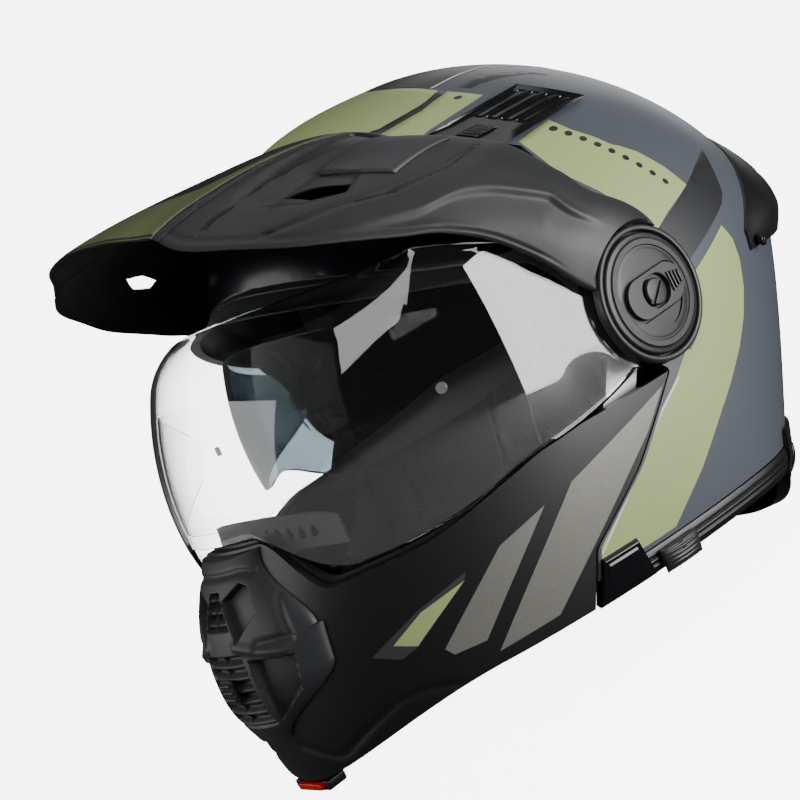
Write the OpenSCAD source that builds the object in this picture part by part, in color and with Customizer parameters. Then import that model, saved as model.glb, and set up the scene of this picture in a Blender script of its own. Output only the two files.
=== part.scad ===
// Flip-up touring helmet with a sun peak.
// X points to the wearer's left, Y to the back and Z up. The origin lies on the ground under the middle.
// Shapes are drawn round the middle of the face pivot's axis and then lifted onto the ground.

/* [Shell] */
// Width of the painted shell at the pivots
shell_w = 250; // [244:1:256]
// Thickness of the shell wall
shell_wall = 4; // [3:0.5:5]
// Height of the crown over the pivot axis
crown_h = 137.6; // [134:0.2:142]
// Reach of the forehead in front of the head's middle
front_r = 135; // [133:0.5:138]
// Reach of the back of the shell behind the head's middle
back_r = 147; // [143:1:152]
// How far the head's middle lies behind the pivot axis
head_mid = 19; // [16:1:22]
// How far the nape draws in by the lower rim
nape_tuck = 85; // [70:1:95]
// How far each side draws in by the lower rim
side_tuck = 9; // [5:0.5:12]
// Height of the brow edge over the pivot axis
brow_z = 77; // [74:0.5:79]
// Depth of the shell's side rim under the pivot axis
rim_z = -100; // [-104:1:-96]

/* [Chin bar] */
// Reach of the chin in front of the head's middle
chin_reach = 213; // [208:1:217]
// How fast the chin draws back above and below its foremost line
chin_curve = 0.0035; // [0.003:0.0001:0.004]
// Depth of the foremost line of the chin under the pivot axis
chin_nose = 95; // [90:1:100]
// Wall thickness of the chin bar
chin_wall = 4; // [3:0.5:5]
// Gap between the chin bar and the shell along their split
split_gap = 1.4; // [1:0.1:2.5]

/* [Face shield] */
// Radius of the shield's lower edge about the pivot axis
shield_r = 181; // [179:0.5:182]
// Thickness of the shield
shield_t = 2.2; // [2:0.1:3]
// How far the shield's top leans in, measured at its middle
shield_lean = 16; // [14:0.5:17]

/* [Sun visor] */
// Radius of the sun visor about its hinge
visor_r = 129; // [128:0.5:129.5]
// Thickness of the sun visor
visor_t = 2; // [1.6:0.1:2.4]

/* [Pivot] */
// Radius of the boss that the face turns on
boss_r = 10; // [9:0.5:11]
// Running clearance of each turning fit
fit = 0.06; // [0.04:0.01:0.1]
// Outer radius of the peak's ring
ring_r = 31; // [30:0.5:32]
// Radius of the round side cap
cap_r = 27.4; // [26:0.1:27.6]

/* [Peak] */
// Thickness of the peak
peak_t = 2.6; // [2:0.1:3]

/* [Seat] */
// Height of the pivot axis when the helmet stands
seat_z = 134.9; // [134:0.1:135.5]
// Distance of the pivot axis behind the origin
seat_y = 17.2; // [17:0.1:18]

/* [Hidden] */
$fn = 96;

// Layers of the side pivot, measured outwards along X from the middle of the head
side_x = shell_w / 2;
plate_x = side_x - 8.2;
arm_x = side_x - 7.8;
arm_t = 3.2;
collar_x = side_x + 0.6;
shield_plate_x = side_x - 4.3;
ring_x = side_x + 0.6;
boss_x = side_x + 3.2;
cap_x = side_x + 2.6;
cap_face_x = side_x + 6.8;
visor_arm_x = side_x - 21.6;

// Uppermost row of the crown's points, as an angle from straight up
pole_a = 5;
// Depth in millimetres for each degree past level
skirt_step = 2.2;
// Exponents of the shell's curves
side_n = 1.83;
brow_n = 3;
back_n = 1.85;
back_plan_n = 2.6;

function mix(a, b, k) = a + (b - a) * k;
function clamp01(v) = max(0, min(1, v));
function smooth(v) = let(k = clamp01(v)) k * k * (3 - 2 * k);
function arc_rise(z, h, n) = pow(max(0, 1 - pow(min(1, z / h), n)), 1 / n);

// Half width, front reach and back reach of the skin at height z, moved inwards by o
function half_w(z, o) = z > 0 ? (shell_w / 2 - o) * arc_rise(z, crown_h - o, side_n)
    : shell_w / 2 - o - side_tuck * pow(-z / 112, 1.8);
function chin_r(z, o) = chin_reach - o - chin_curve * pow(z + chin_nose, 2);
function front(z, o) = z > 0 ? (front_r - o) * arc_rise(z, crown_h - o, brow_n)
    : mix(front_r - o, chin_r(z, o), clamp01(-z / 18));
function back(z, o) = z > 0 ? (back_r - o) * arc_rise(z, crown_h - o, back_n)
    : back_r - o - nape_tuck * pow(-z / 122, 1.2);
function middle(z) = head_mid - 9 * clamp01(z / crown_h);

// Point of the skin at plan angle t from the front and height z, moved inwards by o
function skin(t, z, o) = let(
    c = cos(t),
    s = sin(t),
    n = c > 0 ? 2.1 - 0.15 * clamp01(-z / 18) : back_plan_n,
    reach = c > 0 ? -front(z, o) : back(z, o)
) [half_w(z, o) * sign(s) * pow(abs(s), 2 / n), middle(z) + reach * pow(abs(c), 2 / n), z];

// The same point by its angle a from straight up, running on down the skirt
function drop_z(a, o) = a < 90 ? (crown_h - o) * cos(a) : -(a - 90) * skirt_step;
function angle_of(z) = z > 0 ? acos(z / crown_h) : 90 - z / skirt_step;
function dome(t, a, o) = skin(t, drop_z(a, o), o);

// Point at x, with radius r and angle a over straight ahead, about the pivot axis
function polar(x, r, a) = [x, -r * cos(a), r * sin(a)];

// Closed solid between an outer and an inner grid of points. Rows run down and columns run to the
// right as seen from outside. With wrap the columns close into a ring whose top row gets a lid.
// The two halves are split into triangles as mirror images.
module sheet(outer, inner, wrap = false) {
    rows = len(outer);
    cols = len(outer[0]);
    n = rows * cols;
    spans = wrap ? cols : cols - 1;
    function at(i, j) = i * cols + j % cols;
    walls = [for (i = [0 : rows - 2]) for (j = [0 : spans - 1])
        let(a = at(i, j), b = at(i, j + 1), c = at(i + 1, j + 1), d = at(i + 1, j))
        each j < spans / 2
            ? [[a, b, c], [a, c, d], [n + a, n + c, n + b], [n + a, n + d, n + c]]
            : [[a, b, d], [b, c, d], [n + a, n + d, n + b], [n + b, n + d, n + c]]];
    foot = [for (j = [0 : spans - 1]) let(c = at(rows - 1, j + 1), d = at(rows - 1, j))
        each [[d, c, n + c], [d, n + c, n + d]]];
    lid = [for (j = [1 : cols - 2]) each [[j + 1, j, 0], [n + j, n + j + 1, n]]];
    head = [for (j = [0 : spans - 1]) let(a = at(0, j), b = at(0, j + 1))
        each [[b, a, n + a], [b, n + a, n + b]]];
    ends = [for (i = [0 : rows - 2])
        let(a = at(i, 0), d = at(i + 1, 0), b = at(i, cols - 1), c = at(i + 1, cols - 1))
        each [[a, d, n + d], [a, n + d, n + a], [c, b, n + b], [c, n + b, n + c]]];
    polyhedron(
        points = concat([for (row = outer) each row], [for (row = inner) each row]),
        faces = concat(walls, foot, wrap ? lid : concat(head, ends)),
        convexity = 8
    );
}

// Lifts a shape from the pivot axis onto the ground
module seated() {
    translate([0, seat_y, seat_z]) children();
}

module axle(r, x0, x1) {
    translate([x0, 0, 0]) rotate([0, 90, 0]) cylinder(r = r, h = x1 - x0);
}

module right_side() {
    mirror([1, 0, 0]) children();
}

// A patch of the skin: columns k run from 0 to 1 and rows v from 0 to 1, each through given functions
module patch(cols, rows, t_of, z_of, out_of, in_of) {
    outer = [for (i = [0 : rows]) [for (j = [0 : cols]) let(k = j / cols, v = i / rows)
        skin(t_of(k, v), z_of(k, v), out_of(k, v))]];
    inner = [for (i = [0 : rows]) [for (j = [0 : cols]) let(k = j / cols, v = i / rows)
        skin(t_of(k, v), z_of(k, v), in_of(k, v))]];
    sheet(outer, inner);
}

// The outline in front of the split, seen from the side: brow, pivot, then the slanted split
split = [[-2, -35], [-11, -43], [-36.5, -65], [-70.5, -87], [-80.5, -112], [-82, -140]];
brow_line = [[-260, brow_z], [-112, brow_z], [-104, brow_z - 6], [-93, brow_z - 13], [-75, brow_z - 22],
    [-55, brow_z - 31], [-38, brow_z - 42], [-31, brow_z - 54], [-27, 8], [-20, -15]];

module face_opening(inset = 0) {
    rotate([90, 0, 90]) translate([0, 0, -200]) linear_extrude(400) offset(delta = -inset)
        polygon(concat(brow_line, split, [[-260, -140]]));
}

module outer_shell() {
    cols = 52;
    rows = 12;
    function wall(o) = [for (i = [0 : rows]) [for (j = [0 : cols - 1])
        dome(360 * j / cols, mix(pole_a, angle_of(rim_z), i / rows), o)]];
    color("#5b6470") seated() resize([0, 0, 0]) difference() {
        sheet(wall(0), wall(shell_wall), true);
        face_opening();
        axle(ring_r + 1, -shell_w, shell_w);
    }
}

// Depth of the liner's outer face under the skin: deep in front, where the sun visor stows
function liner_gap(t, a) = 22 - 14 * smooth((abs(((t + 180) % 360) - 180) - 98) / 26) * smooth((a - 12) / 40);
liner_in = 40;

module shock_liner() {
    cols = 40;
    rows = 8;
    function low(t) = let(s = abs(((t + 180) % 360) - 180)) mix(brow_z + 4, -94, smooth((s - 62) / 24));
    function row_a(t, i) = mix(pole_a, angle_of(low(t)), i / rows);
    outer = [for (i = [0 : rows]) [for (j = [0 : cols - 1]) let(t = 360 * j / cols, a = row_a(t, i))
        dome(t, a, liner_gap(t, a))]];
    inner = [for (i = [0 : rows]) [for (j = [0 : cols - 1]) let(t = 360 * j / cols)
        dome(t, row_a(t, i), liner_in)]];
    color("#2a2b2d") seated() sheet(outer, inner, true);
}

pad_t = 10;

module crown_pad() {
    cols = 28;
    rows = 5;
    function low(t) = let(s = abs(((t + 180) % 360) - 180)) mix(brow_z + 10, 6, smooth((s - 60) / 30));
    function wall(o) = [for (i = [0 : rows]) [for (j = [0 : cols - 1]) let(t = 360 * j / cols)
        dome(t, mix(pole_a, angle_of(low(t)), i / rows), o)]];
    color("#1d1e20") seated() sheet(wall(liner_in + 3.8), wall(liner_in + pad_t), true);
}

module cheek_pad() {
    color("#1d1e20") patch(10, 8,
        function (k, v) mix(66, 112, k),
        function (k, v) mix(-6, -96, v),
        function (k, v) liner_in + 5,
        function (k, v) liner_in + 6
            + 13 * pow(sin(180 * mix(0.06, 0.94, k)) * sin(180 * mix(0.08, 0.95, v)), 0.5));
}

module cheek_pad_left() {
    seated() cheek_pad();
}

module cheek_pad_right() {
    seated() right_side() cheek_pad();
}

module neck_roll() {
    color("#1d1e20") seated() patch(24, 3,
        function (k, v) mix(116, 244, k),
        function (k, v) mix(-94.4, -113, v),
        function (k, v) 9 + 3 * abs(2 * v - 1),
        function (k, v) 26 - 4 * abs(2 * v - 1));
}

// Gap between a seal or trim and the shell's edge
seal_gap = 0.3;

// How far the brow seal flares out, so that its lip ends behind the shield
seal_flare = max(0, shield_r - front_r - 35);

// Height of the brow edge at plan angle t
function brow_at(t) = brow_z - 1 - 30.5 * pow(abs(t) / 59, 1.6);

module brow_seal() {
    color("#141516") seated() resize([0, 0, 0]) intersection() {
        patch(26, 3,
            function (k, v) mix(-62, 62, k),
            function (k, v) brow_at(mix(-62, 62, k)) + mix(3, -9.5, v),
            function (k, v) -0.4 - seal_flare * smooth(v) * (1 - 0.75 * pow(abs(2 * k - 1), 2)),
            function (k, v) 4.6 - seal_flare * smooth(v) * (1 - 0.75 * pow(abs(2 * k - 1), 2)));
        face_opening(seal_gap);
    }
}

// Grooved trim along the shell's side rim, ending at the split
module side_rail() {
    resize([0, 0, 0]) difference() {
        patch(18, 4,
            function (k, v) mix(58, 110, k),
            function (k, v) mix(rim_z - 0.4, rim_z - 11, v),
            function (k, v) -0.4 - 1.4 * sin(180 * v),
            function (k, v) shell_wall);
        face_opening(-0.6);
    }
}

module side_rail_left() {
    color("#191a1b") seated() side_rail();
}

module side_rail_right() {
    color("#191a1b") seated() right_side() side_rail();
}

// Nape trim: laps the shell's rim, tucks under it and has three upright fins on each rear corner
module nape_trim() {
    color("#101112") seated() resize([0, 0, 0]) union() {
        patch(30, 7,
            function (k, v) mix(111, 249, k),
            function (k, v) let(i = round(7 * v)) rim_z + (i < 3 ? [7.2, 3, -0.6][i]
                : mix(-0.8, mix(-34.9, -11, pow(abs(2 * k - 1), 4)), (i - 3) / 4)),
            function (k, v) -1.4 - 1.3 * sin(180 * clamp01(v * 1.1)),
            function (k, v) round(7 * v) < 3 ? -0.5 : shell_wall + 1);
        for (side = [-1, 1]) for (i = [0 : 2]) patch(1, 3,
            function (k, v) 180 + side * (44 + 7 * i) + mix(-1.2, 1.2, k),
            function (k, v) mix(-102, -116, v),
            function (k, v) -3.4 - 1.1 * sin(180 * v),
            function (k, v) -1.6);
    }
}

// Rear spoiler: hugs the back of the shell and flares out along its lower half
function spoiler_top(k) = mix(56, 0, pow(abs(2 * k - 1), 2.2));
function spoiler_low(k) = mix(-10, -15, 1 - abs(2 * k - 1));

module rear_spoiler() {
    color("#161718") seated() patch(28, 6,
        function (k, v) mix(110, 250, k),
        function (k, v) mix(spoiler_top(k), spoiler_low(k), v),
        function (k, v) -1 - 5.6 * sin(150 * v) * smooth((1 - abs(2 * k - 1)) * 5 + 0.1),
        function (k, v) -0.4);
}

module spoiler_screws() {
    color("#3a3b3c") seated() for (side = [-1, 1]) let(p = skin(side * 112.5, -8, -2.9))
        translate(p) rotate([0, side * 90, 0]) rotate([-20, 0, 0]) cylinder(r = 3.2, h = 2.4);
}

// Crown vents, one each side: a raised frame with a sunk throat
module crown_vent() {
    patch(12, 6,
        function (k, v) mix(mix(68, 80, v), mix(98.5, 106, v), k),
        function (k, v) mix(mix(104, 108, k), mix(86, 89.5, k), v),
        function (k, v) -0.9 - 1.9 * max(pow(k, 8), pow(abs(2 * v - 1), 5)) * min(1, 0.25 + 3 * k),
        function (k, v) -0.35);
}

module crown_vent_left() {
    color("#0d0e0f") seated() crown_vent();
}

module crown_vent_right() {
    color("#0d0e0f") seated() right_side() crown_vent();
}

// Thumb tab that slides back over the throat of a crown vent
module crown_slider() {
    patch(4, 3,
        function (k, v) mix(mix(75, 78, v), mix(81, 84, v), k),
        function (k, v) mix(99, 94, v),
        function (k, v) -1.7 - 0.9 * sin(180 * k),
        function (k, v) -1.2);
}

module crown_slider_left() {
    color("#161718") seated() crown_slider();
}

module crown_slider_right() {
    color("#161718") seated() right_side() crown_slider();
}

// Hub fixed to the shell: base plate, outer boss, and the inner pin that the sun visor turns on
pin_r = 5;

module pivot_hub() {
    difference() {
        union() {
            axle(20, plate_x - 4.8, plate_x);
            axle(boss_r, plate_x, boss_x);
            axle(pin_r, visor_arm_x - 0.8, plate_x - 4.8);
            translate([plate_x - 4.8, 0, -13]) cube([4.8, 46, 26]);
            translate([plate_x - 4.8, 38, -13]) cube([6.8, 8, 26]);
        }
        axle(2.6, plate_x - 1.8, boss_x + 1);
    }
}

module pivot_hub_left() {
    color("#3f4143") seated() pivot_hub();
}

module pivot_hub_right() {
    color("#3f4143") seated() right_side() pivot_hub();
}

// Sliding bar across the cap, set at a slant
tab_slant = 2;
tab_l = 40;
tab_w = 19;
tab_x = side_x + 5.4;
tab_travel = 3;

module tab_slot(grow, start, x0, x1) {
    reach = (tab_l - tab_w) / 2;
    rotate([tab_slant, 0, 0]) translate([x0, 0, 0]) rotate([90, 0, 90]) linear_extrude(x1 - x0)
        hull() for (y = [start - reach, reach]) translate([y, 0]) circle(r = tab_w / 2 + grow);
}

module pivot_cap() {
    difference() {
        union() {
            axle(cap_r, cap_x, cap_face_x - 1.2);
            axle(cap_r - 3, cap_face_x - 1.3, cap_face_x);
        }
        axle(boss_r + 0.15, cap_x - 1, boss_x + 0.2);
        axle(2.8, boss_x - 0.2, cap_face_x + 1);
        tab_slot(0.4, 0, tab_x - 0.3, cap_face_x + 1);
    }
}

module pivot_cap_left() {
    color("#2b2c2d") seated() pivot_cap();
}

module pivot_cap_right() {
    color("#2b2c2d") seated() right_side() pivot_cap();
}

module cap_tab() {
    difference() {
        union() {
            tab_slot(-0.1, tab_travel, tab_x, cap_face_x + 0.6);
            rotate([tab_slant, 0, 0]) for (i = [0 : 2])
                translate([cap_face_x, 11 + 2.6 * i, -4.5]) cube([1.6, 1.2, 9]);
        }
        rotate([tab_slant, 0, 0]) hull() for (y = [0, tab_travel]) translate([0, y, 0])
            axle(7, tab_x - 1, cap_face_x + 3);
    }
}

module cap_tab_left() {
    color("#333435") seated() cap_tab();
}

module cap_tab_right() {
    color("#333435") seated() right_side() cap_tab();
}

// Centre screws with a coin slot, one each side
module cap_screws() {
    color("#1c1d1e") seated() for (side = [0, 1]) mirror([side, 0, 0]) difference() {
        union() {
            axle(2.4, plate_x + 2.2, tab_x - 0.2);
            axle(6.2, tab_x - 0.3, cap_face_x + 2);
        }
        rotate([40, 0, 0]) translate([cap_face_x + 0.8, -7, -0.9]) cube([2, 14, 1.8]);
    }
}

// Sun visor: a lens that turns with the hub's inner pins, shown lowered
visor_half = side_x - 24.4;
function visor_edge(x) = visor_r * pow(1 - pow(abs(x) / (side_x - 19), 2.1), 1 / 2.1);

module sun_visor() {
    cols = 22;
    rows = 6;
    function lens(d) = [for (i = [0 : rows]) [for (j = [0 : cols])
        let(k = 2 * j / cols - 1, x = visor_half * sin(90 * k), v = i / rows,
            high = mix(24, 34, pow(abs(k), 4)), low = mix(-7, 4, pow(abs(k), 6)) + 5 * exp(-pow(k / 0.16, 2)))
        polar(x * (1 - d / 140), visor_edge(x) - d, mix(high, low, v))]];
    color("#1f2428") seated() sheet(lens(0), lens(visor_t));
}

// Side arm that carries the lens on the hub's pin
module visor_arm() {
    difference() {
        union() {
            axle(11, visor_arm_x, visor_arm_x + 2);
            translate([visor_arm_x, 0, 0]) rotate([90, 0, 90]) linear_extrude(2)
                polygon([[0, 10.5], [-34, 22], [-42, 22], [-47, 7], [-42, 3], [0, -10.5]]);
            translate([visor_arm_x - 2.5, 0, 0]) rotate([90, 0, 90]) linear_extrude(2.8)
                polygon([[-35, 21], [-42, 21.5], [-46.5, 7], [-40, 5]]);
        }
        axle(pin_r + fit, visor_arm_x - 4, visor_arm_x + 6);
    }
}

module visor_arm_left() {
    color("#2a2b2c") seated() visor_arm();
}

module visor_arm_right() {
    color("#2a2b2c") seated() right_side() visor_arm();
}

// Lever under the left rim that works the sun visor
module visor_lever() {
    color("#1b1c1d") seated() patch(6, 3,
        function (k, v) mix(72, 78, k),
        function (k, v) mix(-102, -113.4, v),
        function (k, v) -4.8 - 2.6 * sin(180 * k) * sin(180 * v),
        function (k, v) -2.4);
}

// Retention straps hang from the shell's sides and meet under the chin
strap_w = 22;
strap_t = 2.4;

module strap(reach) {
    steps = 14;
    half = [0, strap_w / 2, 0];
    function path(s, r) = let(a = reach * s)
        [(84 - r) * cos(a), -6 - 17 * (1 - cos(a)), -84 - (46 - r) * sin(a)];
    outer = [for (i = [0 : steps]) let(p = path(i / steps, 0)) [p - half, p + half]];
    inner = [for (i = [0 : steps]) let(p = path(i / steps, strap_t)) [p - half, p + half]];
    sheet(outer, inner);
}

module chin_strap_left() {
    color("#202123") seated() strap(76);
}

module chin_strap_right() {
    color("#202123") seated() right_side() strap(76);
}

module buckle_frame() {
    color("#232425") seated() translate([4, -23, -131.5]) difference() {
        translate([-24, -13, 0]) cube([40, 26, 2.2]);
        translate([-19, -8, -1]) cube([7, 16, 5]);
    }
}

module buckle_lever() {
    color("#a3262a") seated() translate([4, -23, -129]) difference() {
        union() {
            translate([-8, -10, 0]) cube([20, 20, 2.4]);
            translate([12, 10, 1.2]) rotate([90, 0, 0]) cylinder(r = 1.2, h = 20);
        }
        translate([-5, -6, -1]) cube([6, 12, 5]);
    }
}

// Chin bar: a bowed wall from one split line to the other
function split_t(z) = mix(82, 63, clamp01((-z - 40) / 71));
function chin_top(s) = -22 - 27 * smooth((s - 0.13) / 0.2) + 14 * smooth((s - 0.5) / 0.32);
function chin_low(s) = mix(-129.8, -110.5, smooth(s / 0.75));

module chin_wall_patch(out_o, in_o) {
    patch(40, 8,
        function (k, v) let(s = 2 * k - 1) s * split_t(mix(chin_top(abs(s)), chin_low(abs(s)), v)),
        function (k, v) let(s = abs(2 * k - 1)) mix(chin_top(s), chin_low(s), v),
        out_o, in_o);
}

module chin_bar() {
    color("#2c2d2f") seated() resize([0, 0, 0]) intersection() {
        chin_wall_patch(function (k, v) 0, function (k, v) chin_wall);
        face_opening(split_gap);
    }
}

module chin_liner() {
    color("#222325") seated() patch(22, 4,
        function (k, v) mix(-46, 46, k),
        function (k, v) mix(-58, mix(-122, -108, pow(2 * k - 1, 2)), v),
        function (k, v) chin_wall + 0.7,
        function (k, v) chin_wall + 17 - 5 * pow(abs(2 * v - 1), 2));
}

// Plate and collar that carry the chin bar on the boss, with a step inwards to reach its wall
arm_dir = 52;

module chin_arm() {
    difference() {
        union() {
            axle(24, arm_x, arm_x + arm_t);
            axle(14, arm_x + arm_t, collar_x);
            rotate([arm_dir, 0, 0]) translate([arm_x - 8.6, -29, -10]) cube([11.8, 8, 20]);
            rotate([arm_dir, 0, 0]) translate([arm_x - 8.6, -62, -10]) cube([3.6, 36, 18]);
            rotate([arm_dir, 0, 0]) translate([0, -57, 0]) axle(4, arm_x - 6.2, arm_x - 4.8);
        }
        axle(boss_r + fit, side_x - 25, side_x + 5);
    }
}

module chin_arm_left() {
    color("#77797b") seated() chin_arm();
}

module chin_arm_right() {
    color("#77797b") seated() right_side() chin_arm();
}

// Rubber lip along the chin bar's top edge, behind the shield
module chin_seal() {
    color("#141516") seated() patch(30, 2,
        function (k, v) mix(-61, 61, k),
        function (k, v) let(s = abs(2 * k - 1) * 61 / 82) chin_top(s) + mix(1, -7, v),
        function (k, v) chin_wall + 0.7,
        function (k, v) chin_wall + 4.2);
}

// Half angle of the chin vent's cover at height z
function vent_t(z) = z > -60 ? mix(11.5, 22, smooth((-z - 24) / 38)) : mix(23, 6, smooth((-z - 76) / 30));

// Straight hole through the vent's cover, from corners given as width and height
module vent_hole(corners, side) {
    hull() for (p = corners) translate([side * p[0], -240, p[1]])
        rotate([-90, 0, 0]) cylinder(r = 1.2, h = 120, $fn = 10);
}

module chin_vent() {
    color("#1f2021") seated() resize([0, 0, 0]) difference() {
        patch(18, 11,
            function (k, v) (2 * k - 1) * vent_t(mix(-23, -104, v)),
            function (k, v) mix(-23, -104, v),
            function (k, v) -1 - 9.5 * pow(1 - pow(abs(2 * k - 1), 3), 0.6)
                * pow(sin(180 * mix(0.1, 0.94, v)), 0.5),
            function (k, v) -0.4);
        for (side = [-1, 1]) {
            vent_hole([[12, -33], [20, -46], [13, -58], [10, -46]], side);
            vent_hole([[13, -67], [30, -68], [31, -80], [20, -92]], side);
        }
        vent_hole([[-5.5, -30], [5.5, -30], [5.5, -58], [-5.5, -58]], 1);
    }
}

// Louvres in the vent's middle slot
module chin_grille() {
    color("#101112") seated() for (z = [-53, -46, -39]) translate([0, head_mid - chin_r(z, -4.6), z])
        rotate([24, 0, 0]) cube([12.8, 4.6, 1.4], center = true);
}

// Ribbed slide on the vent's face that opens and closes the slot
slide_w = 10;
slide_h = 12;

module vent_shutter() {
    color("#2a2b2c") seated() translate([-slide_w / 2, head_mid - chin_r(-76, -10.4) - 1.6, -82]) union() {
        cube([slide_w, 1.6, slide_h]);
        for (z = [2, 5.4, 8.8]) translate([1, -1.2, z]) cube([slide_w - 2, 1.2, 1.4]);
    }
}

// Breath deflector: a bowed plate that stands up from the chin bar's inner edge
module breath_deflector() {
    cols = 16;
    plate_t = 1.6;
    steps = [[2, 14], [1, 7], [0, -2]];
    function row(step, d) = [for (j = [0 : cols]) let(k = 2 * j / cols - 1)
        skin(27 * k, -27, chin_wall + 6.7 + d) + [0, step[0], step[1] - 8 * pow(k, 2)]];
    function face(d) = [for (step = steps) row(step, d)];
    color("#3a3b3d") seated() sheet(face(0), face(plate_t));
}

// Red release button under the chin and the housing it sits in
module release_pill(r, d, h) {
    translate([0, head_mid - chin_reach + d, -132.4]) hull() for (x = [-8, 8])
        translate([x, 0, 0]) rotate([-90, 0, 0]) cylinder(r = r, h = h, $fn = 24);
}

module release_button() {
    color("#c3241f") seated() release_pill(1.6, 3, 7);
}

module release_housing() {
    color("#151617") seated() resize([0, 0, 0]) difference() {
        translate([-14, head_mid - chin_reach + 5, -134.8]) cube([28, 10, 4.7]);
        release_pill(2, 0, 14);
    }
}

// Face shield: a lens turned about the pivot axis, leaning in towards its top
shield_x = side_x - 2.8;
shield_cols = 40;
function shield_edge(x) = shield_r * pow(1 - pow(abs(x) / shield_x, 2.1), 1 / 2.1);
function lean_at(x, a) = (shield_lean * pow(max(0, a + 7) / 28, 1.5) + 10 * pow(max(0, a - 19) / 9, 2))
    * max(0, 1 - pow(x / 100, 2));
function shield_at(x, a, d) = let(r = shield_edge(x))
    polar(x * (1 - d / 150) + sign(x) * 2.6 * smooth((58 - r) / 24), r - lean_at(x, a) - d, a);
function shield_top(s) = 28 + 30 * pow(s, 2.6);
function shield_low(s) = -5.6 - 10 * smooth((s - 0.13) / 0.19) - 7 * clamp01((s - 0.3) / 0.36)
    - 34 * pow(clamp01((s - 0.66) / 0.34), 1.5);

module face_shield() {
    rows = 8;
    function x_of(k) = shield_x * 0.9866 * sin(90 * k);
    function lens(d) = [for (i = [0 : rows]) [for (j = [0 : shield_cols])
        let(k = 2 * j / shield_cols - 1, s = abs(k))
        shield_at(x_of(k), mix(shield_top(s), shield_low(s), i / rows), d)]];
    color("#c9d3d8", 0.35) seated() sheet(lens(0), lens(shield_t));
}

module shield_plate() {
    difference() {
        axle(30.2, shield_plate_x, shield_plate_x + 3.7);
        axle(14 + fit, side_x - 5, side_x + 5);
    }
}

module shield_plate_left() {
    color("#1a1b1c") seated() shield_plate();
}

module shield_plate_right() {
    color("#1a1b1c") seated() right_side() shield_plate();
}

// Anti-fog insert inside the shield, held by a pin at each end
module fog_insert() {
    cols = 24;
    rows = 4;
    function lens(d) = [for (i = [0 : rows]) [for (j = [0 : cols])
        let(k = 2 * j / cols - 1, w = pow(1 - pow(abs(k), 6), 0.5), v = 0.5 + w * (i / rows - 0.5))
        shield_at(96 * k, mix(16, -5, mix(0.06, 0.94, v)), d)]];
    color("#dfe6ea", 0.3) seated() sheet(lens(shield_t + 0.9), lens(shield_t + 1.8));
}

module fog_pins() {
    color("#b9bcbe") seated() for (side = [-1, 1]) translate(shield_at(side * 101, 4, shield_t + 1.5))
        rotate([0, side * -122, side * -30]) cylinder(r = 2.6, h = 2.6, $fn = 24);
}

// Peak stations from the middle to the ring: x, radius and angle on the front edge, then on the rear edge
peak_stations = [
    [0, 220, 34.7, 0, 150, 60],
    [26, 216, 34.6, 24, 147, 61],
    [43, 207, 34.5, 42, 139.5, 64],
    [51, 203, 34.3, 54, 132.5, 66],
    [62, 196, 32.6, 66, 126, 66.5],
    [76, 178, 32.8, 78, 118.5, 66.5],
    [91, 154, 33.6, 91, 108, 70],
    [106, 120, 37, 103, 95, 74.5],
    [113, 101, 40, 110, 87.5, 76.5],
    [120, 77, 41.3, 121, 65, 82],
    [125.8, 54, 37.3, 127, 49, 90],
    [129.6, 31.6, 25, 130.6, 31.6, 128]
];

// Point of the peak's top face at station s, v of the way from the front edge to the rear edge.
// The stations are for a shell 250 wide with a crown 137.6 high.
side_k = side_x / 125;
function peak_at(s, v, d) = let(
    i = min(floor(s), len(peak_stations) - 2),
    p = mix(peak_stations[i], peak_stations[i + 1], s - i),
    bow = sin(180 * v),
    side = clamp01((s - 5) / 4),
    x = mix(p[0], p[3], v) + (s > 5 && s < 11 ? 0.42 * s * bow : 0)
) polar(x * side_k - d * side,
    (mix(p[1], p[4], v) - 9 * bow * clamp01(1 - s / 8)) * mix(1, crown_h / 137.6, clamp01((10 - s) / 3))
    - d * (1 - 0.9 * side), mix(p[2], p[5], v));

// Slot through the peak under each cover, as stations and places from the front edge to the rear
slot_corners = [[4.9, 0.27], [5.4, 0.36], [6, 0.38], [6, 0.31], [5.6, 0.26]];

module peak_slot() {
    hull() for (c = slot_corners) for (depth = [-6, 8])
        translate(peak_at(c[0], c[1], depth)) cube(0.6, center = true);
}

module peak() {
    rows = 7;
    last = len(peak_stations) - 1;
    function face(d) = [for (i = [0 : rows]) [for (j = [-last : last])
        let(q = peak_at(abs(j), 1 - i / rows, d)) [sign(j) * q[0], q[1], q[2]]]];
    color("#333435") seated() resize([0, 0, 0]) difference() {
        sheet(face(0), face(peak_t));
        peak_slot();
        right_side() peak_slot();
    }
}

// Raised cover behind each slot of the peak
module peak_cover() {
    function face(lift) = [for (v = [0.92, 0.8, 0.68, 0.56, 0.45]) [for (k = [0 : 4])
        let(q = peak_at(mix(mix(5.1, 4.9, (v - 0.45) / 0.47), 6.4, k / 4), v, -lift)) [q[0], q[1], q[2]]]];
    sheet(face(2.2), face(0.7));
}

module peak_cover_left() {
    color("#2b2c2d") seated() peak_cover();
}

module peak_cover_right() {
    color("#2b2c2d") seated() right_side() peak_cover();
}

module peak_ring() {
    difference() {
        axle(ring_r, ring_x, side_x + 6);
        axle(cap_r + 0.6, ring_x + 1.7, side_x + 7);
        axle(boss_r + 0.4, side_x - 5, side_x + 7);
    }
}

module peak_ring_left() {
    color("#2e2f30") seated() peak_ring();
}

module peak_ring_right() {
    color("#2e2f30") seated() right_side() peak_ring();
}

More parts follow.
